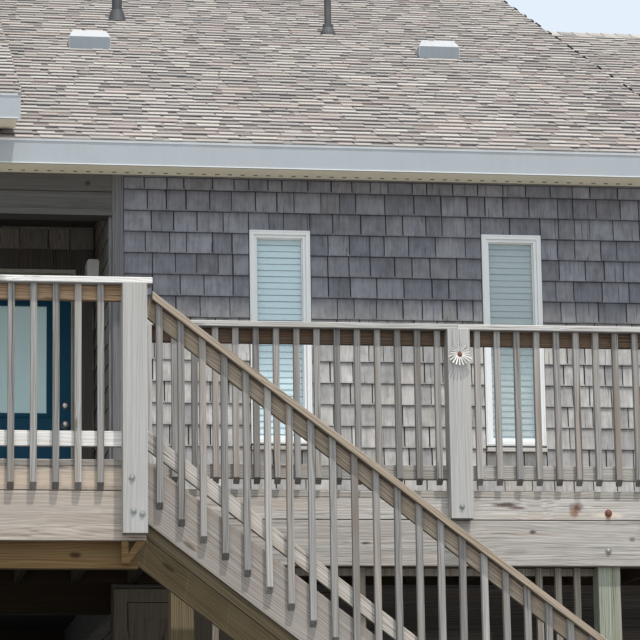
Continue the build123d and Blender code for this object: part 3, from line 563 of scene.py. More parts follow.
# The beam gets painted shade behind the front rim through deep
treated_x = wood("treated_x", (0.23, 0.145, 0.066), (0.115, 0.066, 0.027), (0.165, 0.13, 0.058), axis="x",
                 patch=0.6, knots=0.03, marks=beam_marks, deep=(-7.2, -6.9, 0.12))
treated_y = wood("treated_y", (0.07, 0.052, 0.032), (0.035, 0.025, 0.014), (0.055, 0.045, 0.025), axis="y",
                 patch=0.6)
treated_z = wood("treated_z", (0.20, 0.18, 0.14), (0.10, 0.085, 0.062), (0.15, 0.14, 0.095), axis="z",
                 patch=0.6)
picket_wood = wood("picket_wood", (0.38, 0.345, 0.30), (0.17, 0.15, 0.125), (0.27, 0.22, 0.165), axis="z")
# Darker tone as painted shade on the near carriage in the stringer's shadow; deep makes the far carriage
# lighter
treated_slope = wood("treated_slope", (0.20, 0.155, 0.095), (0.095, 0.07, 0.04), (0.15, 0.145, 0.08),
                     axis="slope", deep=(-8.0, -7.7, 1.9))
stringer_wood = wood("stringer_wood", (0.42, 0.385, 0.355), (0.235, 0.205, 0.18), (0.34, 0.26, 0.19),
                     axis="slope")
dark_wood = wood("dark_wood", (0.13, 0.118, 0.108), (0.05, 0.045, 0.041), (0.12, 0.082, 0.062), knots=0.045)
corner_wood = wood("corner_wood", (0.19, 0.19, 0.20), (0.10, 0.10, 0.105), (0.17, 0.15, 0.13), patch=0.3)
shade_wood = wood("shade_wood", (0.022, 0.02, 0.018), (0.01, 0.009, 0.008), (0.022, 0.017, 0.014),
                  patch=0.3)
dark_wood_z = wood("dark_wood_z", (0.14, 0.13, 0.118), (0.055, 0.05, 0.044), (0.125, 0.09, 0.07), axis="z")
store_wood = wood("store_wood", (0.21, 0.18, 0.145), (0.13, 0.11, 0.088), (0.19, 0.14, 0.105), axis="z",
                  rings=0.05)
sheathing = wood("sheathing", (0.07, 0.06, 0.05), (0.04, 0.033, 0.028), (0.06, 0.045, 0.03), axis="x",
                 knots=0.02)
dim_cedar = wood("dim_cedar", (0.31, 0.29, 0.27), (0.16, 0.15, 0.135), (0.25, 0.20, 0.165), patch=0.3)
# The first cedar carries painted shade under the eaves; plain_cedar does not
eave_shaded_cedar, plain_cedar = cedar("eave_shaded_cedar"), cedar("plain_cedar", eave_weather_and_shade=False)
roof_tab = asphalt("roof_tab", (0.34, 0.325, 0.315), (0.46, 0.435, 0.41), (0.56, 0.535, 0.50),
                   (0.47, 0.385, 0.365), 0.97)
roof_base = asphalt("roof_base", (0.26, 0.245, 0.235), (0.345, 0.325, 0.31), (0.43, 0.41, 0.39),
                    (0.33, 0.27, 0.255), 1.0)
trim_paint = painted("trim_paint", (0.435, 0.47, 0.505), (0.37, 0.39, 0.40), 0.38, 0.25)
white_vinyl = painted("white_vinyl", (0.86, 0.875, 0.885), (0.64, 0.65, 0.64), 0.35, 0.25)
soffit_tan = painted("soffit_tan", (0.84, 0.81, 0.67), (0.54, 0.50, 0.38), 0.6, 0.3)
vent_metal = painted("vent_metal", (0.54, 0.555, 0.585), (0.32, 0.32, 0.32), 0.5, 0.4)
pipe_plastic = painted("pipe_plastic", (0.075, 0.08, 0.09), (0.16, 0.15, 0.14), 0.6, 0.6)
teal_paint = painted("teal_paint", (0.002, 0.072, 0.14), (0.012, 0.085, 0.13), 0.55, 0.4, specular=0.2)
frame_paint = painted("frame_paint", (0.50, 0.49, 0.44), (0.30, 0.27, 0.22), 0.5)
# Pale slats whose blue is painted sky reflection from the glass in front
slat_sky_reflection = painted("slat_sky_reflection", (0.86, 0.98, 1.0), (0.68, 0.78, 0.84), 0.5, 0.3)
slat_green = painted("slat_green", (0.48, 0.485, 0.44), (0.40, 0.41, 0.37), 0.5, 0.3)
# Vent screen: its dark grey-blue is partly its own colour, partly painted shade on the upright front
screen_grey_shade = painted("screen_grey_shade", (0.26, 0.295, 0.335), (0.20, 0.21, 0.21), 0.6, 0.4)
# Near-black painted shade for gaps between shingles and boards, vent slots and rake strips
painted_gap_shade = painted("painted_gap_shade", (0.02, 0.019, 0.018), (0.04, 0.036, 0.03), 0.9)
# Window glass: its pale blue tint is partly painted sky reflection
window_pane = glazing("window_pane", (0.64, 0.84, 0.93), 0.22)
# Door glass: a nearly opaque pale blue that is painted sky reflection
door_pane_sky_reflection = glazing("door_pane_sky_reflection", (0.72, 0.99, 1.0), 0.94, dust_and_reflection=(0.80, 0.97, 1.0))
galvanised = rusty("galvanised", (0.36, 0.38, 0.375), amount=0.25, metallic=0.5)
rusted = rusty("rusted", (0.17, 0.09, 0.06), amount=0.7, metallic=0.3)
brushed = rusty("brushed", (0.66, 0.64, 0.60), amount=0.02, metallic=0.9)

# New finishes for CAD nodes; the walls behind the cladding get near-black painted shade that shows in the
# gaps
for material, names in (
        (painted_gap_shade, "main_walls wing_walls gable_walls corner_walls store_walls"),
        (painted_gap_shade, "porch_wall_beside_door porch_wall_over_door"),
        (roof_base, "roofs"),
        (trim_paint, "fascia_boards rake_boards"),
        (soffit_tan, "soffits"),
        (pipe_plastic, "vent_pipes"),
        (post_wood, "rail_posts"),
        (under_post, "deck_posts"),
        (treated_z, "pilings"),
        (picket_wood, "picket_screen"),
        (treated_x, "beams landing_bracket"),
        (treated_y, "joists"),
        (treated_slope, "stair_carriages"),
        (stringer_wood, "stair_stringer"),
        (dark_wood_z, "store_wall_beside_door store_wall_over_door store_sill entry_casing"),
        (store_wood, "store_casing store_door"),
        (header_wood, "porch_header"),
        (frame_paint, "entry_frame"),
        (teal_paint, "entry_door"),
        (door_pane_sky_reflection, "entry_door_glass"),
        (window_pane, "window_glass"),
        (white_vinyl, "window_frames porch_light"),
        (brushed, "entry_knob"),
        (sheathing, "house_floor porch_floor")):
    for name in names.split():
        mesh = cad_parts[name].data
        mesh.materials.clear()
        mesh.materials.append(material)


# Wall cladding

class Face:
    """Upright wall face: u runs to the right as seen from outside, out is the distance from the wall."""

    def __init__(self, x, y, turn):
        a = math.radians(turn)
        self.origin = Vector((x, y, 0))
        self.u = Vector((math.cos(a), math.sin(a), 0))
        self.out = Vector((math.sin(a), -math.cos(a), 0))

    def at(self, u, out, z):
        return self.origin + self.u * u + self.out * out + Z * z

    def slab(self, piece, u, out, z):
        """Closed block on the face; its grain runs along u."""
        low = [self.at(a, b, z[0]) for a, b in rectangle(u[0], out[0], u[1], out[1])]
        piece.prism(low, [p + Z * (z[1] - z[0]) for p in low], self.u, Z)

    def trim(self, piece, u, out, z, upright=False):
        """Trim board with eased edges, flat on the face."""
        long, high, thick = u[1] - u[0], z[1] - z[0], out[1] - out[0]
        if upright:
            piece.board(self.at(u[1], out[0], z[0]), Z, -self.u, high, long, thick, ease=2.0)
        else:
            piece.board(self.at(u[0], out[0], z[1]), self.u, self.out, long, thick, high, ease=2.0)


def spans(low, high, holes):
    """What is left of low to high outside some holes."""
    parts = [(low, high)]
    for a, b in holes:
        cut = [part for start, end in parts for part in ((start, min(end, a)), (max(start, b), end))]
        parts = [part for part in cut if part[1] - part[0] > 12.0]
    return parts


def clad(piece, face, u0, u1, low, high, holes=(), width=(100.0, 215.0), step=exposure, anchor=butt_anchor,
         butt=13.0, gap=(5.0, 11.0), ragged=3.0, flat=False):
    """Courses of shingles or boards between low(u) and high(u), clear of the holes (u0, u1, z0, z1)."""
    rng = piece.rng
    us = [u0 + (u1 - u0) * i / 24 for i in range(25)]
    bottom, top = min(low(u) for u in us), max(high(u) for u in us)
    zb = anchor + math.floor((bottom - anchor) / step) * step
    while zb < top:
        zt = zb + step + lap
        beside = [h for h in holes if h[2] < zt and h[3] > zb]
        edges = sorted({u0, u1, *[e for h in beside for e in h[:2] if u0 < e < u1]})
        for a, b in zip(edges, edges[1:]):
            blocked = [h[2:] for h in beside if h[0] < (a + b) / 2 < h[1]]
            for z in spans(zb, zt, blocked):
                start = a
                while start < b - 1.0:
                    end = start + rng.uniform(*width)
                    end = end if b - end > width[0] * 0.6 else b
                    half_gap = rng.uniform(*gap) / 2
                    u = (start + half_gap, end - half_gap)
                    shingle(piece, face, u, z, low, high, zb, butt, ragged, step, flat)
                    start = end
        zb += step


def shingle(piece, face, u, z, low, high, zb, butt, ragged, step, flat):
    """One shingle or board, thicker at its butt; only a butt at the course's own line is uneven."""
    rng = piece.rng
    free = z[0] == zb
    z0 = z[0] + (rng.uniform(-ragged, ragged) if free else 0.0)
    lows = [max(z0 + (rng.uniform(-1.2, 1.2) if free else 0), low(p)) for p in u]
    highs = [min(z[1], high(p)) for p in u]
    if min(b - a for a, b in zip(lows, highs)) < 10.0:
        return
    thick = butt + rng.uniform(-2.0, 2.0)

    def section(heights):
        """Outline from above; each end is as thick as the shingle is at its height."""
        outer = []
        for a, height in zip(u, heights):
            share = min(max((height - zb) / (step + lap), 0.0), 1.0)
            outer.append(face.at(a, thick - (thick - 4.0) * share, height))
        return outer + [face.at(u[1], 0, heights[1]), face.at(u[0], 0, heights[0])]

    piece.prism(section(lows), section(highs), *((face.u, Z) if flat else (Z, face.u)))


def level(z):
    return lambda u: z


def roof_line(roof, drop, sign=1):
    """A roof's top, lowered by drop, along a wall that runs with Y or against it."""
    return lambda u: roof.height(sign * u, drop)


def lower_edge(edge, sign):
    """Bottom of a front wall's shingles: the decking where the deck is, else the wall's foot."""
    return lambda u: deck_z + 3.0 if (u - edge) * sign < 0 else wall_foot + band_h


class Window:
    """A CAD window: centre u on its face, bottom level, width and height."""

    def __init__(self, face, u, bottom=window_low, wide=window_w, high=window_h, blind="blue"):
        self.face, self.u, self.blind = face, u, blind
        self.bottom, self.wide, self.high = bottom, wide, high

    def hole(self, margin=2.0):
        half = self.wide / 2 + margin
        return self.u - half, self.u + half, self.bottom - sill_h - margin, self.bottom + self.high + margin


def pair(face, start, size):
    """The two windows of a wall."""
    return [Window(face, start + size * share) for share in (0.28, 0.72)]


def holes_of(windows):
    return [window.hole() for window in windows]


main_face = Face(0, deck_depth, 0)
right_face = Face(0, right_front, 0)
back_face = Face(0, back_y, 180)
right_back_face = Face(0, right_back_y, 180)
left_end = Face(house_left, 0, -90)
right_end = Face(house_right, 0, 90)
main_left_face = Face(main_left, 0, -90)
main_right_face = Face(main_right, 0, 90)
left_block_face = Face(left_block_right, 0, 90)
porch_face = Face(0, porch_back, 0)

block_w = house_right - main_right
left_w = 0.8 * block_w          # width of the part of the left block that has its windows
main_windows = [Window(main_face, left + window_w / 2, blind=blind)
                for left, blind in zip(front_window_lefts, ("blue", "green"))]
left_windows = pair(main_face, house_left, left_w)
left_back = pair(back_face, -house_left, -left_w)
right_windows = pair(right_face, main_right, block_w)
right_back = pair(right_back_face, -main_right, -block_w)
main_back = pair(back_face, -left_block_right, left_block_right - main_right)
left_sides = pair(left_end, -deck_depth, -main_depth)
right_sides = pair(right_end, deck_depth, main_depth)
store_window = Window(main_face, 1010.0, bottom=1390.0, wide=460.0, high=900.0, blind=None)
all_windows = (main_windows + left_windows + left_back + right_windows + right_back + main_back + left_sides
               + right_sides + [store_window])

# Shingles of each wall: its face, its span between corner boards, lower and upper edge, and holes
porch_ceiling = deck_z + 2490.0
main_span = (main_left + corner_w, main_right - corner_w)
left_span = (house_left + corner_w, left_block_right - corner_w)
right_span = (main_right + corner_t, house_right - corner_w)
back_left_span = (-left_block_right, -house_left - corner_w)
back_main_span = (-main_right + corner_w, -left_block_right)
back_right_span = (-house_right + corner_w, -main_right - corner_t)
porch_span = (left_block_right + 16.0, main_left - 16.0)
left_end_span = (-back_y + corner_w, -deck_depth - corner_w)
right_end_span = (right_front + corner_w, right_back_y - corner_w)
above_deck, above_band = level(deck_z + 3.0), level(wall_foot + band_h)
main_top, left_top, porch_top = level(main_roof.soffit), level(left_roof.soffit), level(porch_ceiling)
under_left, under_right = roof_line(left_roof, roof_t + 14.0, -1), roof_line(right_roof, roof_t + 14.0)
under_main, over_main = roof_line(main_roof, roof_t + 4.0), roof_line(main_roof, -14.0)
over_right, strip_top = roof_line(right_roof, -14.0), roof_line(left_roof, roof_t + 4.0)
left_deck_edge, right_deck_edge = deck_left - 60.0, deck_right + 60.0
for name, seed, material, walls in (
        ("front_shingles", 11, eave_shaded_cedar, (
            (main_face, main_span, above_deck, main_top, holes_of(main_windows)),)),
        ("block_front_shingles", 12, eave_shaded_cedar, (
            (main_face, left_span, lower_edge(left_deck_edge, -1), left_top, holes_of(left_windows)),
            (right_face, right_span, lower_edge(right_deck_edge, 1), main_top, holes_of(right_windows)))),
        ("back_shingles", 13, eave_shaded_cedar, (
            (back_face, back_left_span, above_band, left_top, holes_of(left_back)),
            (back_face, back_main_span, above_band, main_top, holes_of(main_back)),
            (right_back_face, back_right_span, above_band, main_top, holes_of(right_back)))),
        ("end_shingles", 14, plain_cedar, (
            (left_end, left_end_span, above_band, under_left, holes_of(left_sides)),
            (right_end, right_end_span, above_band, under_right, holes_of(right_sides)))),
        ("step_shingles", 15, plain_cedar, (
            (main_right_face, (deck_depth + corner_w, right_front), above_deck, under_main, ()),
            (main_right_face, (right_back_y, back_y - corner_w), above_band, under_main, ()),
            (main_right_face, (right_front, right_back_y), over_right, under_main, ()),
            (left_block_face, (main_roof.eave, mirror_y(main_roof.eave)), over_main, strip_top, ()))),
        ("porch_shingles", 16, dim_cedar, (
            (main_left_face, (-porch_back, -deck_depth - corner_w), above_deck, porch_top, ()),
            (left_block_face, (deck_depth + corner_w, porch_back), above_deck, porch_top, ()),
            (porch_face, porch_span, above_deck, porch_top, (entry_hole,))))):
    shingles = Piece(name, seed)
    for face, span, *edges_and_holes in walls:
        clad(shingles, face, *span, *edges_and_holes)
    shingles.finish(material, slot="cedar_wall")

# Corner boards: face, outer edge, side on which the wall goes on, bottom and top
corners = Piece("corner_boards", 21)
for face, u, side, low, high in (
        (main_face, main_left, 1, deck_z, main_roof.soffit),
        (main_left_face, -deck_depth, -1, deck_z, porch_ceiling),
        (main_face, main_right, -1, deck_z, main_roof.soffit),
        (main_right_face, deck_depth, 1, deck_z, main_roof.soffit),
        (main_face, left_block_right, -1, deck_z, left_roof.soffit - 260.0),
        (left_block_face, deck_depth, 1, deck_z, porch_ceiling),
        (main_face, house_left, 1, wall_foot, left_roof.soffit),
        (left_end, -deck_depth, -1, wall_foot, left_roof.soffit),
        (left_end, -back_y, 1, wall_foot, left_roof.soffit),
        (back_face, -house_left, -1, wall_foot, left_roof.soffit),
        (back_face, -main_right, 1, wall_foot, main_roof.soffit),
        (main_right_face, back_y, -1, wall_foot, main_roof.soffit),
        (right_face, house_right, -1, wall_foot, main_roof.soffit),
        (right_end, right_front, 1, wall_foot, main_roof.soffit),
        (right_end, right_back_y, -1, wall_foot, main_roof.soffit),
        (right_back_face, -house_right, 1, wall_foot, main_roof.soffit)):
    span = (u, u + corner_w) if side > 0 else (u - corner_w, u)
    face.trim(corners, span, (0.0, corner_t), (low, high), upright=True)
corners.finish(corner_wood)

# Friezes under the eaves, kept thin and dark as painted shade under the soffit, and bands at the foot of
# the walls
bands, left_frieze = Piece("wall_bands", 22), Piece("left_frieze", 23)
band_t, frieze_h = 24.0, 14.0
for face, span, roof in (
        (main_face, main_span, main_roof), (right_face, right_span, right_roof),
        (back_face, back_left_span, left_roof), (back_face, back_main_span, main_roof),
        (right_back_face, back_right_span, right_roof)):
    face.trim(bands, span, (0, band_t), (roof.soffit - frieze_h, roof.soffit))
for face, span in (
        (main_face, (left_span[0], left_deck_edge)), (right_face, (right_deck_edge, right_span[1])),
        (back_face, (back_main_span[0], back_left_span[1])), (right_back_face, back_right_span),
        (left_end, left_end_span), (right_end, right_end_span)):
    face.trim(bands, span, (0, band_t), (wall_foot, wall_foot + band_h + 10.0))
bands.finish(corner_wood)
main_face.trim(left_frieze, (house_left + 20.0, left_block_right - 1.0), (0, 30.0),
               (left_roof.soffit - 90.0, left_roof.soffit))
left_frieze.finish(soffit_tan, slot="soffit")


# Roof covering

def slope_points(roof, back):
    """Start of the slope over the fascia, its upward direction, its normal and its length."""
    y = roof.eave - trim_t - fascia_lip
    sign = -1.0 if back else 1.0
    start = Vector((0, mirror_y(y) if back else y, roof.height(y)))
    up = Vector((0, sign, roof_ratio)).normalized()
    normal = Vector((0, -sign * roof_ratio, 1.0)).normalized()
    return start, up, normal, (ridge_y - y) * slope_length


roof_exposure = 143.0
fascia_lip = 9.0          # shingles beyond the fascia's face
block_faces = [(0, 1, 2, 3), (4, 5, 6, 7), (0, 1, 5, 4), (1, 2, 6, 5), (2, 3, 7, 6), (3, 0, 4, 7)]


def roof_tabs(base, tabs, roof, x0, x1, back):
    """Laminated shingles: a thin backing with random tabs over it."""
    start, up, normal, length = slope_points(roof, back)

    def lay(piece, a, b, s0, s1, thick, lean=0.0):
        """Flat block up the slope from s0 to s1; its grain counts from its lower edge."""
        s1 = min(s1, length)
        places = [(u, s0, n) for u, n in rectangle(a + lean, 0, b - lean, thick)]
        places += [(u, s1, n) for u, n in rectangle(a, 0, b, thick * 0.3)]
        shift = piece.rng.uniform(0, 40)
        piece.add([start + X * u + up * s + normal * n for u, s, n in places], block_faces,
                  [Vector(((s - s0) / 1000, u / 1000 + shift, n / 1000)) for u, s, n in places])

    rng = base.rng
    for k in range(math.ceil((length - 10.0) / roof_exposure)):
        s = k * roof_exposure
        u = x0 - rng.uniform(0, 12)
        stop = x1 + rng.uniform(0, 12)
        while u < stop - 1.0:
            end = min(u + rng.uniform(220, 560), stop)
            lay(base, u, end, s, s + roof_exposure + 24.0, 5.0)
            u = end
        u = x0 - rng.uniform(0, 60)
        while u < stop - 20.0:
            end = min(u + rng.uniform(90, 290), stop)
            lift = rng.uniform(-4.0, 2.0) if k else 0.0
            lay(tabs, max(u, x0 - 12.0), end, s + lift, s + roof_exposure + 20.0, rng.uniform(8.5, 11.5),
                rng.uniform(0, 9))
            u = end + rng.uniform(0.0, 1.0) ** 1.5 * 190.0


def ridge_caps(piece, roof, x0, x1):
    """Bent cap shingles along the ridge."""
    peak = Vector((0, ridge_y, roof.height(ridge_y)))
    u = x0
    while u < x1 - 5.0:
        for sign in (-1.0, 1.0):
            edge = Vector((0, sign, -roof_ratio)).normalized() * 150.0
            normal = Vector((0, sign * roof_ratio, 1.0)).normalized()
            points = []
            for x, thick in ((u, 15.0), (min(u + roof_exposure + 25.0, x1), 8.0)):
                foot, top = peak + X * x, peak + X * x + Z * thick * slope_length
                points += [foot, top, top + edge, foot + edge + normal * 4.0]
            piece.add(points, block_faces, [Vector((0.0, p.x / 1000, 0.0)) for p in points])
        u += roof_exposure


for name, roof, inset, seed in (("main", main_roof, 4.0, 31), ("left", left_roof, -trim_t, 32),
                                ("right", right_roof, 18.0, 33)):
    base, tabs = Piece(f"{name}_roof_backing", seed), Piece(f"{name}_roof_tabs", seed + 10)
    x0, x1 = roof.left + inset, roof.right + trim_t
    for back in (False, True):
        roof_tabs(base, tabs, roof, x0, x1, back)
    ridge_caps(tabs, roof, x0, x1)
    base.finish(roof_base, slot="roof_shingle")
    tabs.finish(roof_tab, slot="roof_shingle")

# Roof vents: a low hood over an upright screen
vent_w, vent_deep, vent_screen, vent_top, vent_side, vent_back = 344.0, 330.0, 108.0, 176.0, 36.0, 62.0
vent_sunk = 20.0
hoods, screens = Piece("vent_hoods", 98), Piece("vent_screens", 99)
for x, run in vent_places:
    y = main_roof.eave + run
    surface = main_roof.height(y)
    left, right = x - vent_w / 2, x + vent_w / 2
    lower = rectangle(left, y, right, y + vent_deep)
    upper = rectangle(left + vent_side, y + vent_back, right - vent_side, y + vent_deep)
    for z0, ends, z1 in ((-vent_sunk, lower, vent_screen), (vent_screen, upper, vent_top)):
        hoods.prism([(a, b, surface + z0) for a, b in lower], [(a, b, surface + z1) for a, b in ends], X, Z)
    screens.box((left + 6.0, right - 6.0), (y - 4.0, y), (surface - vent_sunk, surface + vent_screen - 2.0))
hoods.finish(vent_metal, slot="vent_white", replaces=("roof_vents",))
screens.finish(screen_grey_shade, slot="vent_white")

# Rubber boots where the pipes leave the roof
boots = Piece("pipe_boots", 89)
for x, run, foot_r, neck_r in pipe_places:
    y = main_roof.eave + run
    boots.lathe((x, y, main_roof.height(y)), Z, [(foot_r, -30.0), (foot_r - 4.0, 5.0), (neck_r + 4.0, 48.0),
                                                 (neck_r, 52.0), (neck_r, 84.0), (neck_r - 12.0, 88.0)], 20)
boots.finish(pipe_plastic, slot="pipe_grey")


# Windows: stepped white frames, weathered sills and closed slats

def ring(piece, face, u, z, wide, out):
    """Four mitred strips along the inner side of a rectangle's edge."""
    outer = rectangle(u[0], z[0], u[1], z[1])
    inner = rectangle(u[0] + wide, z[0] + wide, u[1] - wide, z[1] - wide)
    for i in range(4):
        j = (i + 1) % 4
        shape = [outer[i], outer[j], inner[j], inner[i]]
        low, high = ([face.at(a, depth, b) for a, b in shape] for depth in out)
        piece.prism(low, high, Z if i % 2 else face.u, face.out)


frames, sills = Piece("window_casings", 51), Piece("window_sills", 52)
blinds = {"blue": Piece("blue_blinds", 53), "green": Piece("green_blinds", 54)}
slat_pitch, slat_w, slat_t, slat_out = 45.2, 40.5, 2.5, -72.0
frame_steps = ((0.0, 32.0, (-110.0, 24.0)), (8.0, 6.0, (24.0, 28.0)), (32.0, 20.0, (-90.0, 6.0)),
               (52.0, 7.0, (-34.0, -22.0)))      # distance from the edge, width, and how far out
for window in all_windows:
    face, half = window.face, window.wide / 2
    u0, u1, z0, z1 = window.u - half, window.u + half, window.bottom, window.bottom + window.high
    for inset, wide, out in frame_steps:
        ring(frames, face, (u0 + inset, u1 - inset), (z0 + inset, z1 - inset), wide, out)
    face.trim(sills, (u0 + 1.0, u1 - 1.0), (-60.0, sill_proud), (z0 - sill_h, z0 - 16.0))
    if window.blind is None:
        continue
    slats = blinds[window.blind]
    inner = (u0 + 54.0, u1 - 54.0)
    face.slab(slats, inner, (slat_out - 16.0, slat_out + 6.0), (z1 - 84.0, z1 - 54.0))
    top = z1 - 92.0
    while top > z0 + 56.0 + slat_w:
        sway, lean = slats.rng.uniform(-1.5, 1.5), 9.0 + slats.rng.uniform(-1.5, 1.5)
        middle = slat_out - lean / 2 + 3.0
        curve = [(slat_out - lean, 0.0), (middle, -slat_w / 2), (slat_out, -slat_w)]
        outline = curve + [(out - slat_t, b) for out, b in reversed(curve)]
        low, high = ([face.at(end, out, top + sway + b) for out, b in outline] for end in inner)
        slats.prism(low, high, face.u, Z)
        top -= slat_pitch
    face.slab(slats, inner, (slat_out - 12.0, slat_out + 2.0), (z0 + 56.0, z0 + 74.0))
frames.finish(white_vinyl, slot="window_white", replaces=("window_frames",), bevel=1.5)
sills.finish(grey_wood)
blinds["blue"].finish(slat_sky_reflection, slot="blind", replaces=("window_blinds",))
blinds["green"].finish(slat_green, slot="blind")

# Roof edges
edges = Piece("drip_edges", 61)
for roof in roofs:
    front_y = roof.eave - trim_t
    for y in ((front_y - 5.0, front_y + 2.0), (mirror_y(front_y + 2.0), mirror_y(front_y - 5.0))):
        for low, high in ((-30.0, -6.0), (-190.0, -184.0)):
            edges.box((roof.left, roof.right), y, (roof.top + low, roof.top + high))
edges.finish(white_vinyl, slot="painted_trim")

# Soffit vent slots as dark patches: painted shade of the openings
soffit_holes = Piece("soffit_vents", 62)
groove_pitch = 91.0
for roof, x0, x1 in ((main_roof, main_roof.left + 30.0, main_roof.right),
                     (left_roof, left_roof.left, main_roof.left),
                     (right_roof, right_roof.left + 30.0, right_roof.right)):
    z = (roof.soffit - 1.5, roof.soffit + 2.0)
    front_y = roof.eave + 40.0 + (roof.front - roof.eave - 80.0) * 0.8
    for y in (front_y, mirror_y(front_y)):
        for i in range(int((x1 - x0 - 60.0) / groove_pitch)):
            x = x0 + 50.0 + groove_pitch * i
            soffit_holes.box((x + 38.0, x + 66.0), (y - 9.0, y + 9.0), z)
soffit_holes.finish(painted_gap_shade, slot="soffit")

# Dark strips along the main rake where the shingles end unevenly: painted shade at the rake's edge
rake_shade_strips = Piece("rake_shade_strips", 64)
start, up, normal, length = slope_points(main_roof, False)
start += X * (main_roof.right + trim_t + 12.0)
run = 300.0
while run < length - 200.0:
    end = run + rake_shade_strips.rng.uniform(60.0, 220.0)
    low = [start + X * a + up * run + normal * n for a, n in rectangle(-8.0, 1.0, 3.0, 14.0)]
    rake_shade_strips.prism(low, [p + up * (end - run) for p in low], up, X)
    run = end + rake_shade_strips.rng.uniform(60.0, 420.0)
rake_shade_strips.finish(painted_gap_shade, slot="roof_shingle")

rake_soffits = Piece("rake_soffits", 63)
strip_w, strip_gap, strip_t, wall_gap = 100.0, 4.0, 12.0, 6.0
for roof, x0, x1 in ((main_roof, main_right + wall_gap, main_roof.right),
                     (left_roof, left_roof.left, house_left - wall_gap),
                     (left_roof, left_block_right + wall_gap, left_roof.right),
                     (right_roof, house_right + wall_gap, right_roof.right)):
    top = roof.height(roof.eave, roof_t)
    for y in (roof.eave, mirror_y(roof.eave)):
        for strip in range(int((x1 - x0) / strip_w)):
            a = x0 + strip_w * strip
            low = [(x, y, z) for x, z in rectangle(a, top - strip_t, min(a + strip_w - strip_gap, x1), top)]
            high = [(x, ridge_y, z + roof_ratio * (ridge_y - roof.eave)) for x, _, z in low]
            rake_soffits.prism(low, high, Y, X)
rake_soffits.finish(soffit_tan, slot="soffit")


# Rails, decking and rims

def rail_run(rails, origin, along, length, stations, foot):
    """Rail from a point: two rails inwards, balusters outwards with a bevelled foot."""
    inward = Z.cross(along)
    top = cap_height - lumber_t
    for rail, up in zip(rails, (bottom_rail_z, top - width_4)):
        rail.board(origin + Z * up, along, inward, length, lumber_t, width_4)
    for x in stations:
        start = origin + along * (x - baluster_w / 2) - inward * baluster_w + Z * (foot + baluster_w)
        balusters.board(start, Z, along, top - foot - baluster_w, baluster_w, baluster_w,
                        ends=((0, -1), (0, 0)), bow=2.0)


def centres(start, end, anchor, pitch=baluster_pitch):
    """Baluster centres between two posts, on the grid of the anchor."""
    room = baluster_w / 2 + 8.0
    first = math.ceil((start + room - anchor) / pitch)
    last = math.floor((end - room - anchor) / pitch)
    return [anchor + pitch * i for i in range(first, last + 1)]


deck_foot, landing_foot = 38.0, -174.0          # ends of the balusters, from the decking
post_proud = post_w - lumber_t
balusters = Piece("balusters", 71)
deck_rails = Piece("deck_bottom_rails", 72), Piece("deck_top_rails", 86)
landing_rails = Piece("landing_bottom_rails", 85), Piece("landing_top_rails", 87)

# Rails along the front: left end, y, length, anchor of the balusters' grid, and where the balusters end
bays = [(deck_rails, rail_post(i) + post_w, 0.0, rail_bay - post_w, 176.0, deck_foot) for i in range(3)]
landing_run = landing_right - deck_left - 2 * post_w
bays.append((landing_rails, deck_left + post_w, -landing_depth, landing_run, -2289.0, landing_foot))
for rails, x0, y, run, anchor, foot in bays:
    rail_run(rails, Vector((x0, y, deck_z)), X, run, [x - x0 for x in centres(x0, x0 + run, anchor)], foot)
for along, x, y0, y1, foot in ((-Y, deck_left, -landing_depth + lumber_t, -post_proud, landing_foot),
                               (-Y, deck_left, lumber_t, deck_depth - post_w, deck_foot),
                               (Y, deck_right, lumber_t, right_front - post_w, deck_foot)):
    start = Vector((x, y1 if along.y < 0 else y0, deck_z))
    rail_run(deck_rails, start, along, y1 - y0, centres(0.0, y1 - y0, (y1 - y0) / 2), foot)

down = Vector((1, 0, -stair_slope)).normalized()
stair_cap_height = 991.0
cap_under = stair_cap_height - lumber_t * stair_length
newel_x = stair_foot - 2 * tread_run
stair_y = -landing_depth


def stair_line(x, lift):
    return deck_z - stair_slope * (x - landing_right) + lift


def stair_board(piece, x0, x1, low, y, wide, thick):
    """Board along the stair with plumb ends."""
    length, plumb = (x1 - x0) * stair_length, (0, -stair_slope)
    piece.board((x0, y, stair_line(x0, low)), down, Y, length, wide, thick, ends=(plumb, plumb))


stair_rails, stair_bottom = Piece("stair_rail_boards", 73), Piece("stair_bottom_rail", 88)
for piece, low in ((stair_rails, cap_under - width_4 * stair_length), (stair_bottom, 64.0)):
    stair_board(piece, landing_right, newel_x, low, stair_y, lumber_t, width_4)
for x in centres(landing_right, newel_x, -1953.0, stair_baluster_pitch):
    foot = stair_line(x, -230.0) + baluster_w
    left_x = x - baluster_w / 2
    length = stair_line(left_x, cap_under) - foot
    balusters.board((left_x, stair_y - baluster_w, foot), Z, X, length, baluster_w, baluster_w,
                    ends=((0, -1), (-stair_slope, 0)), bow=2.0)
balusters.finish(rail_wood, replaces=("deck_rails",))
deck_rails[0].finish(bottom_wood)
landing_rails[0].finish(pale_wood)
deck_rails[1].finish(brown_wood)
landing_rails[1].finish(warm_wood)
stair_rails.finish(tan_wood, replaces=("stair_rail",))
stair_bottom.finish(stair_rail_wood)

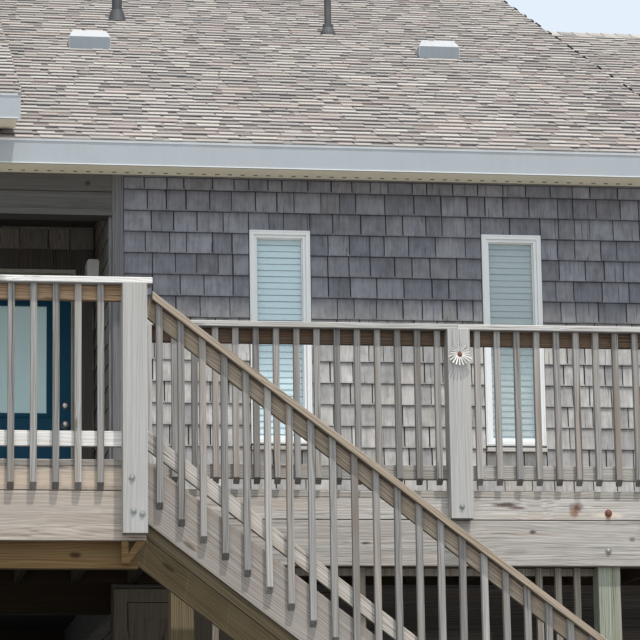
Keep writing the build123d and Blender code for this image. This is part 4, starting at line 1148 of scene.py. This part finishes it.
caps, landing_caps, stair_cap = (Piece("rail_cap_boards", 74), Piece("landing_cap_boards", 84),
                                 Piece("stair_cap_board", 75))
cap_out = baluster_w + cap_lip
cap_back = width_6 - cap_out
cap_z = (deck_z + cap_height - lumber_t, deck_z + cap_height)
splices = [rail_post(i) + post_w / 2 for i in (1, 2)]
for x0, x1 in ((stair_head_post - cap_lip, splices[0]), splices, (splices[1], deck_right + cap_out)):
    caps.plank((x0 + 1.0, x1 - 1.0), (-cap_out, cap_back), cap_z, ease=5.0)
caps.plank((deck_right - cap_back, deck_right + cap_out), (cap_back + 1.0, right_front), cap_z, ease=5.0)
landing_caps.plank((deck_left - cap_out, landing_right + cap_lip), (stair_y - cap_out, stair_y + cap_back),
                   cap_z, ease=5.0)
landing_caps.plank((deck_left - cap_out, deck_left + cap_back), (stair_y + cap_back + 1.0, deck_depth),
                   cap_z, ease=5.0)
stair_board(stair_cap, landing_right + cap_lip, newel_x + post_w + cap_lip, cap_under, stair_y - cap_out,
            width_6, lumber_t)
caps.finish(cap_wood, replaces=("rail_caps",))
landing_caps.finish(pale_wood)
stair_cap.finish(tan_wood)

rims, joint_room = Piece("rim_boards", 76), 1.5
rim_top = deck_z - lumber_t
rim_joint = rim_top - width_6
for high, low in ((rim_top, rim_joint + joint_room), (rim_joint - joint_room, rim_joint - width_12)):
    for x, y in (((deck_left, splices[1]), (0, lumber_t)), ((splices[1], deck_right), (0, lumber_t)),
                 ((deck_left, deck_left + lumber_t), (lumber_t, deck_depth)),
                 ((deck_right - lumber_t, deck_right), (lumber_t, right_front)),
                 ((deck_left, landing_right), (stair_y, stair_y + lumber_t)),
                 ((deck_left, deck_left + lumber_t), (stair_y + lumber_t, 0)),
                 ((landing_right - lumber_t, landing_right), (stair_y + lumber_t, 0))):
        rims.plank(x, y, (low, high), ease=4.0)
rims.finish(rim_wood, replaces=("deck_rim", "landing_rim"))

decking, porch_boards = Piece("deck_boards", 77), Piece("porch_boards", 78)
board_gap, longest_board, shortest_board = 4.0, 3600.0, 500.0


def lay_boards(piece, x, y):
    """Rows of floor boards along X that fill a depth, with staggered joints."""
    rows = round((y[1] - y[0] + board_gap) / (width_6 + board_gap))
    step = (y[1] - y[0] + board_gap) / rows
    for k in range(rows):
        y0 = y[0] + step * k
        a = x[0]
        length = longest_board * (0.45 if k % 2 else 0.8)
        while a < x[1]:
            b = min(a + length, x[1])
            b = x[1] if x[1] - b < shortest_board else b
            piece.plank((a + 1.0, b - 1.0), (y0, y0 + step - board_gap), (rim_top, deck_z))
            a, length = b, longest_board


lay_boards(decking, (deck_left, deck_right), (0, deck_depth))
lay_boards(decking, (main_right, deck_right), (deck_depth + board_gap, right_front))
lay_boards(decking, (deck_left, landing_right), (-landing_depth, -board_gap))
decking.finish(deck_wood, replaces=("deck_decking", "landing_decking"))
lay_boards(porch_boards, (left_block_right + 2.0, main_left - 2.0),
           (deck_depth + board_gap, porch_back - 2.0))
for i in range(4):
    x = left_block_right + (main_left - left_block_right - lumber_t) * i / 3
    porch_boards.plank((x, x + lumber_t), (deck_depth, porch_back), (wall_foot, rim_top))
porch_boards.finish(deck_wood, replaces=("porch_floor",))

treads, tread_board, tread_gap = Piece("stair_tread_boards", 79), 132.0, 6.0
for k in range(1, riser_count):
    x = landing_right + tread_run * (k - 1)
    top = deck_z - riser * k
    for a in (x, x + tread_board + tread_gap):
        treads.plank((a, a + tread_board), (stair_y + lumber_t, -post_proud), (top - lumber_t, top),
                     ease=4.0)
treads.finish(rail_wood, replaces=("stair_treads",))


# Underside boards of the house and siding of the store room

def beam_rows(first, last):
    """Front sides of the four rows of pilings under a block."""
    return [first + (last - piling_w - first) * i / 3 for i in range(4)]


under = Piece("underside_boards", 80)
deep_rows = beam_rows(deck_depth + piling_inset, back_y)
board_step = 190.0
beam_front, beam_back = 60.0, 140.0          # a beam's two sides, from its pilings' front
for x0, x1, first, last, rows in (
        (house_left, left_block_right, deck_depth, back_y, deep_rows),
        (left_block_right, main_right, porch_back + wall_t, back_y, deep_rows),
        (main_right, house_right, right_front, right_back_y, beam_rows(right_front, right_back_y))):
    y = first + 5.0
    while y + board_step < last:
        if not any(y + board_step > row + beam_front and y < row + beam_back for row in rows):
            under.plank((x0 + 5.0, x1 - 5.0), (y, y + board_step - 6.0), (wall_foot - 12.0, wall_foot),
                        ease=2.0)
        y += board_step
under.finish(shade_wood)

siding = Piece("store_siding", 81)
siding_inset = 30.0
casing_w = width_4 + 5.0
store_holes = [(store_door_left - casing_w, store_door_right + casing_w, 0.0, store_door_top + width_4),
               store_window.hole(14.0)]
boards = {"width": (1800.0, 3600.0), "step": 150.0, "anchor": 0.0, "butt": 18.0, "gap": (1.0, 2.0),
          "ragged": 0.6, "flat": True}
store_top = wall_foot - 290.0
for face, u0, u1, top, holes in (
        (main_face, main_left, main_right, rim_top - width_12 - 6.0, store_holes),
        (main_left_face, -store_back, -deck_depth, store_top, ()),
        (main_right_face, deck_depth, store_back, store_top, ()),
        (Face(0, store_back, 180), -main_right, -main_left, store_top, ())):
    clad(siding, face, u0 + siding_inset, u1 - siding_inset, level(4.0), level(top), holes, **boards)
siding.finish(dark_wood, slot="dark_wood")

porch_trim = Piece("porch_header_boards", 82)
header_z = deck_z + 2266.0
for low, high, out in (
        (header_z + 45.0, header_z + 168.0, 19.0), (header_z + 171.0, main_roof.soffit, 19.0),
        (header_z - 4.0, header_z + 43.0, 32.0)):
    main_face.trim(porch_trim, (left_block_right + 2.0, main_left - 1.0), (0, out), (low, high))
ceiling_board, ceiling_pitch = 124.0, 128.0
for k in range(9):
    y = deck_depth + wall_t + 6.0 + k * ceiling_pitch
    porch_trim.plank((left_block_right + 3.0, main_left - 3.0), (y, y + ceiling_board),
                     (porch_ceiling - 10.0, porch_ceiling), ease=2.0)
porch_trim.finish(header_wood, slot="dark_wood")

# Bolts with washers, and the small rosette on the rail post
bolts, old_bolts = Piece("bolt_heads", 91), Piece("rusty_bolts", 92)


def bolt(piece, x, y, z, size):
    """Round washer and head that face the front."""
    profile = ((1, 0), (1, 2.0), (0.62, 2.4), (0.6, 6.0), (0.42, 9.0), (0.1, 10.0))
    piece.lathe((x, y, z), -Y, [(size * share, height) for share, height in profile], 12)


for i in range(4):
    bolt(bolts, rail_post(i) + post_w / 2 - 4.0, -post_proud, deck_z - 107.0, 19.0)
landing_post_foot = deck_z - 430.0
for x, places in ((landing_right - post_w, ((50, 311), (58, 123), (108, 107))),
                  (deck_left, ((50, 300), (60, 120)))):
    for across, up in places:
        bolt(bolts, x + across, -landing_depth - post_proud, landing_post_foot + up, 20.0)
for piece, x in zip((bolts, old_bolts, old_bolts), under_posts):
    bolt(piece, x + 68.0, 0.0, deck_z - 131.0, 24.0)
    bolt(bolts, x + 60.0, 0.0, deck_z - 367.0, 22.0)
bolts.finish(galvanised, slot="hardware")
old_bolts.finish(rusted, slot="hardware")

rosette, heart = Piece("post_rosette", 93), Piece("rosette_heart", 94)
centre = Vector((splices[0] + 2.0, -post_proud, deck_z + 855.0))
petals = 22
for k in range(petals):
    turn = 2 * math.pi * (k + 0.5) / petals
    ray = Vector((math.cos(turn), -0.25, math.sin(turn))).normalized()
    length = 74.0 if math.sin(turn) < -0.3 else 52.0
    rosette.board(centre - Y * 8.0 + ray * 10.0, ray, Y.cross(ray).normalized(), length, 9.0, 4.0, ease=1.0)
heart.lathe(centre - Z * 12.0, -Y, [(18, 0), (20, 8), (13, 16), (4, 20)], 14)
rosette.finish(pale_wood, slot="hardware")
heart.finish(rusted, slot="hardware")

# Door furniture, and the slats and frame of the door's glass
knobs = Piece("entry_knobs", 95)
leaf_t, knob_inset = 44.0, 50.0
leaf_y = porch_back + wall_t - leaf_t
knob_profile = [(30, 0), (31, 4), (27, 8), (12, 12), (11, 24), (22, 32), (28, 42), (26, 54), (14, 60)]
lock_profile = [(31, 0), (31, 6), (24, 10), (23, 20), (18, 23), (6, 24)]
for height, profile in ((1009.0, knob_profile), (1154.0, lock_profile)):
    knobs.lathe((entry_right - knob_inset, leaf_y, deck_z + height), -Y, profile, 20)
knobs.finish(brushed, body="entry_leaf", slot="hardware", replaces=("entry_knob",), smooth=True)

pane_middle, pane_half = (entry_left + entry_right) / 2, 273.0
pane_x = (pane_middle - pane_half, pane_middle + pane_half)
pane_z = (deck_z + 1091.0, deck_z + 1905.0)
door_slats, door_slat_pitch = Piece("door_slats", 96), 22.0
z = pane_z[1]
while z > pane_z[0] + 21.0:
    door_slats.box((pane_x[0] + 4.0, pane_x[1] - 4.0), (leaf_y + 34.0, leaf_y + 35.5),
                   (z - door_slat_pitch, z - 1.0))
    z -= door_slat_pitch
door_slats.finish(slat_sky_reflection, body="entry_leaf", slot="blind")
glass_frame = Piece("door_glass_frame", 97)
for margin, wide, out in ((30.0, 34.0, (0, 9.0)), (22.0, 10.0, (9.0, 13.0))):
    ring(glass_frame, Face(0, leaf_y, 0), (pane_x[0] - margin, pane_x[1] + margin),
         (pane_z[0] - margin, pane_z[1] + margin + 2.0), wide, out)
glass_frame.finish(teal_paint, body="entry_leaf", slot="teal_paint", bevel=2.0)

# Small rounded edges on the timber that stays from the CAD
for names in ("rail_posts deck_posts pilings beams stair_stringer landing_bracket picket_screen",
              "store_casing entry_casing entry_frame store_door fascia_boards rake_boards"):
    for name in names.split():
        soften(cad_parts[name], 3.0)

# Floor, world, light and camera
floor_reach = 200.0          # metres from the middle
floor_outline = rectangle(-floor_reach, -floor_reach, floor_reach, floor_reach)
floor_mesh = bpy.data.meshes.new("floor")
floor_mesh.from_pydata([(x, y, 0) for x, y in floor_outline], [], [(0, 1, 2, 3)])
floor = bpy.data.objects.new("floor", floor_mesh)
bpy.context.scene.collection.objects.link(floor)
s = Shader("floor_paint")
tone = s.mix(s.node("LightPath", out="Is Camera Ray"), (0.40, 0.40, 0.40), (0.80, 0.81, 0.82))
floor_mesh.materials.append(s.surface(tone, 0.8))
floor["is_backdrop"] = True

world = bpy.data.worlds.new("world")
bpy.context.scene.world = world
s = Shader("world", world)
lit = s.node("Background", {"Color": (0.86, 0.93, 1.0, 1.0), "Strength": 0.33})
seen = s.node("Background", {"Color": (0.78, 0.87, 0.97, 1.0)})
s.show("World", s.node("MixShader", {0: s.node("LightPath", out="Is Camera Ray"), 1: lit, 2: seen}))


def add_sun(name, strength, spread, tint, bearing, height):
    """Sun lamp; its bearing, to the right of straight before the front, and its height are in degrees."""
    lamp = bpy.data.objects.new(name, bpy.data.lights.new(name, "SUN"))
    lamp.data.energy = strength
    lamp.data.angle = math.radians(spread)
    lamp.data.color = tint
    a, b = math.radians(bearing), math.radians(height)
    toward = Vector((math.sin(a) * math.cos(b), -math.cos(a) * math.cos(b), math.sin(b)))
    lamp.rotation_euler = toward.to_track_quat("Z", "Y").to_euler()
    bpy.context.scene.collection.objects.link(lamp)


add_sun("key", strength=3.4, spread=1.2, tint=(1.0, 0.965, 0.91), bearing=24.0, height=71.7)
add_sun("fill", strength=1.05, spread=60.0, tint=(0.86, 0.94, 1.0), bearing=-5.0, height=30.0)

camera_place = Vector((-3713.7, -17895.8, deck_z - 2462.7))
yaw, tilt, roll = math.radians(-9.21), math.radians(11.03), math.radians(-0.88)
camera = bpy.data.objects.new("camera", bpy.data.cameras.new("camera"))
bpy.context.scene.collection.objects.link(camera)
bpy.context.scene.camera = camera
camera.data.sensor_width = 36.0
camera.data.lens = 166.9
camera.matrix_world = (Matrix.Translation((camera_place + to_row) / 1000) @ Matrix.Rotation(yaw, 4, "Z")
                       @ Matrix.Rotation(math.pi / 2 + tilt, 4, "X") @ Matrix.Rotation(roll, 4, "Z"))

bpy.context.scene.view_settings.view_transform = "Standard"
low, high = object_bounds()
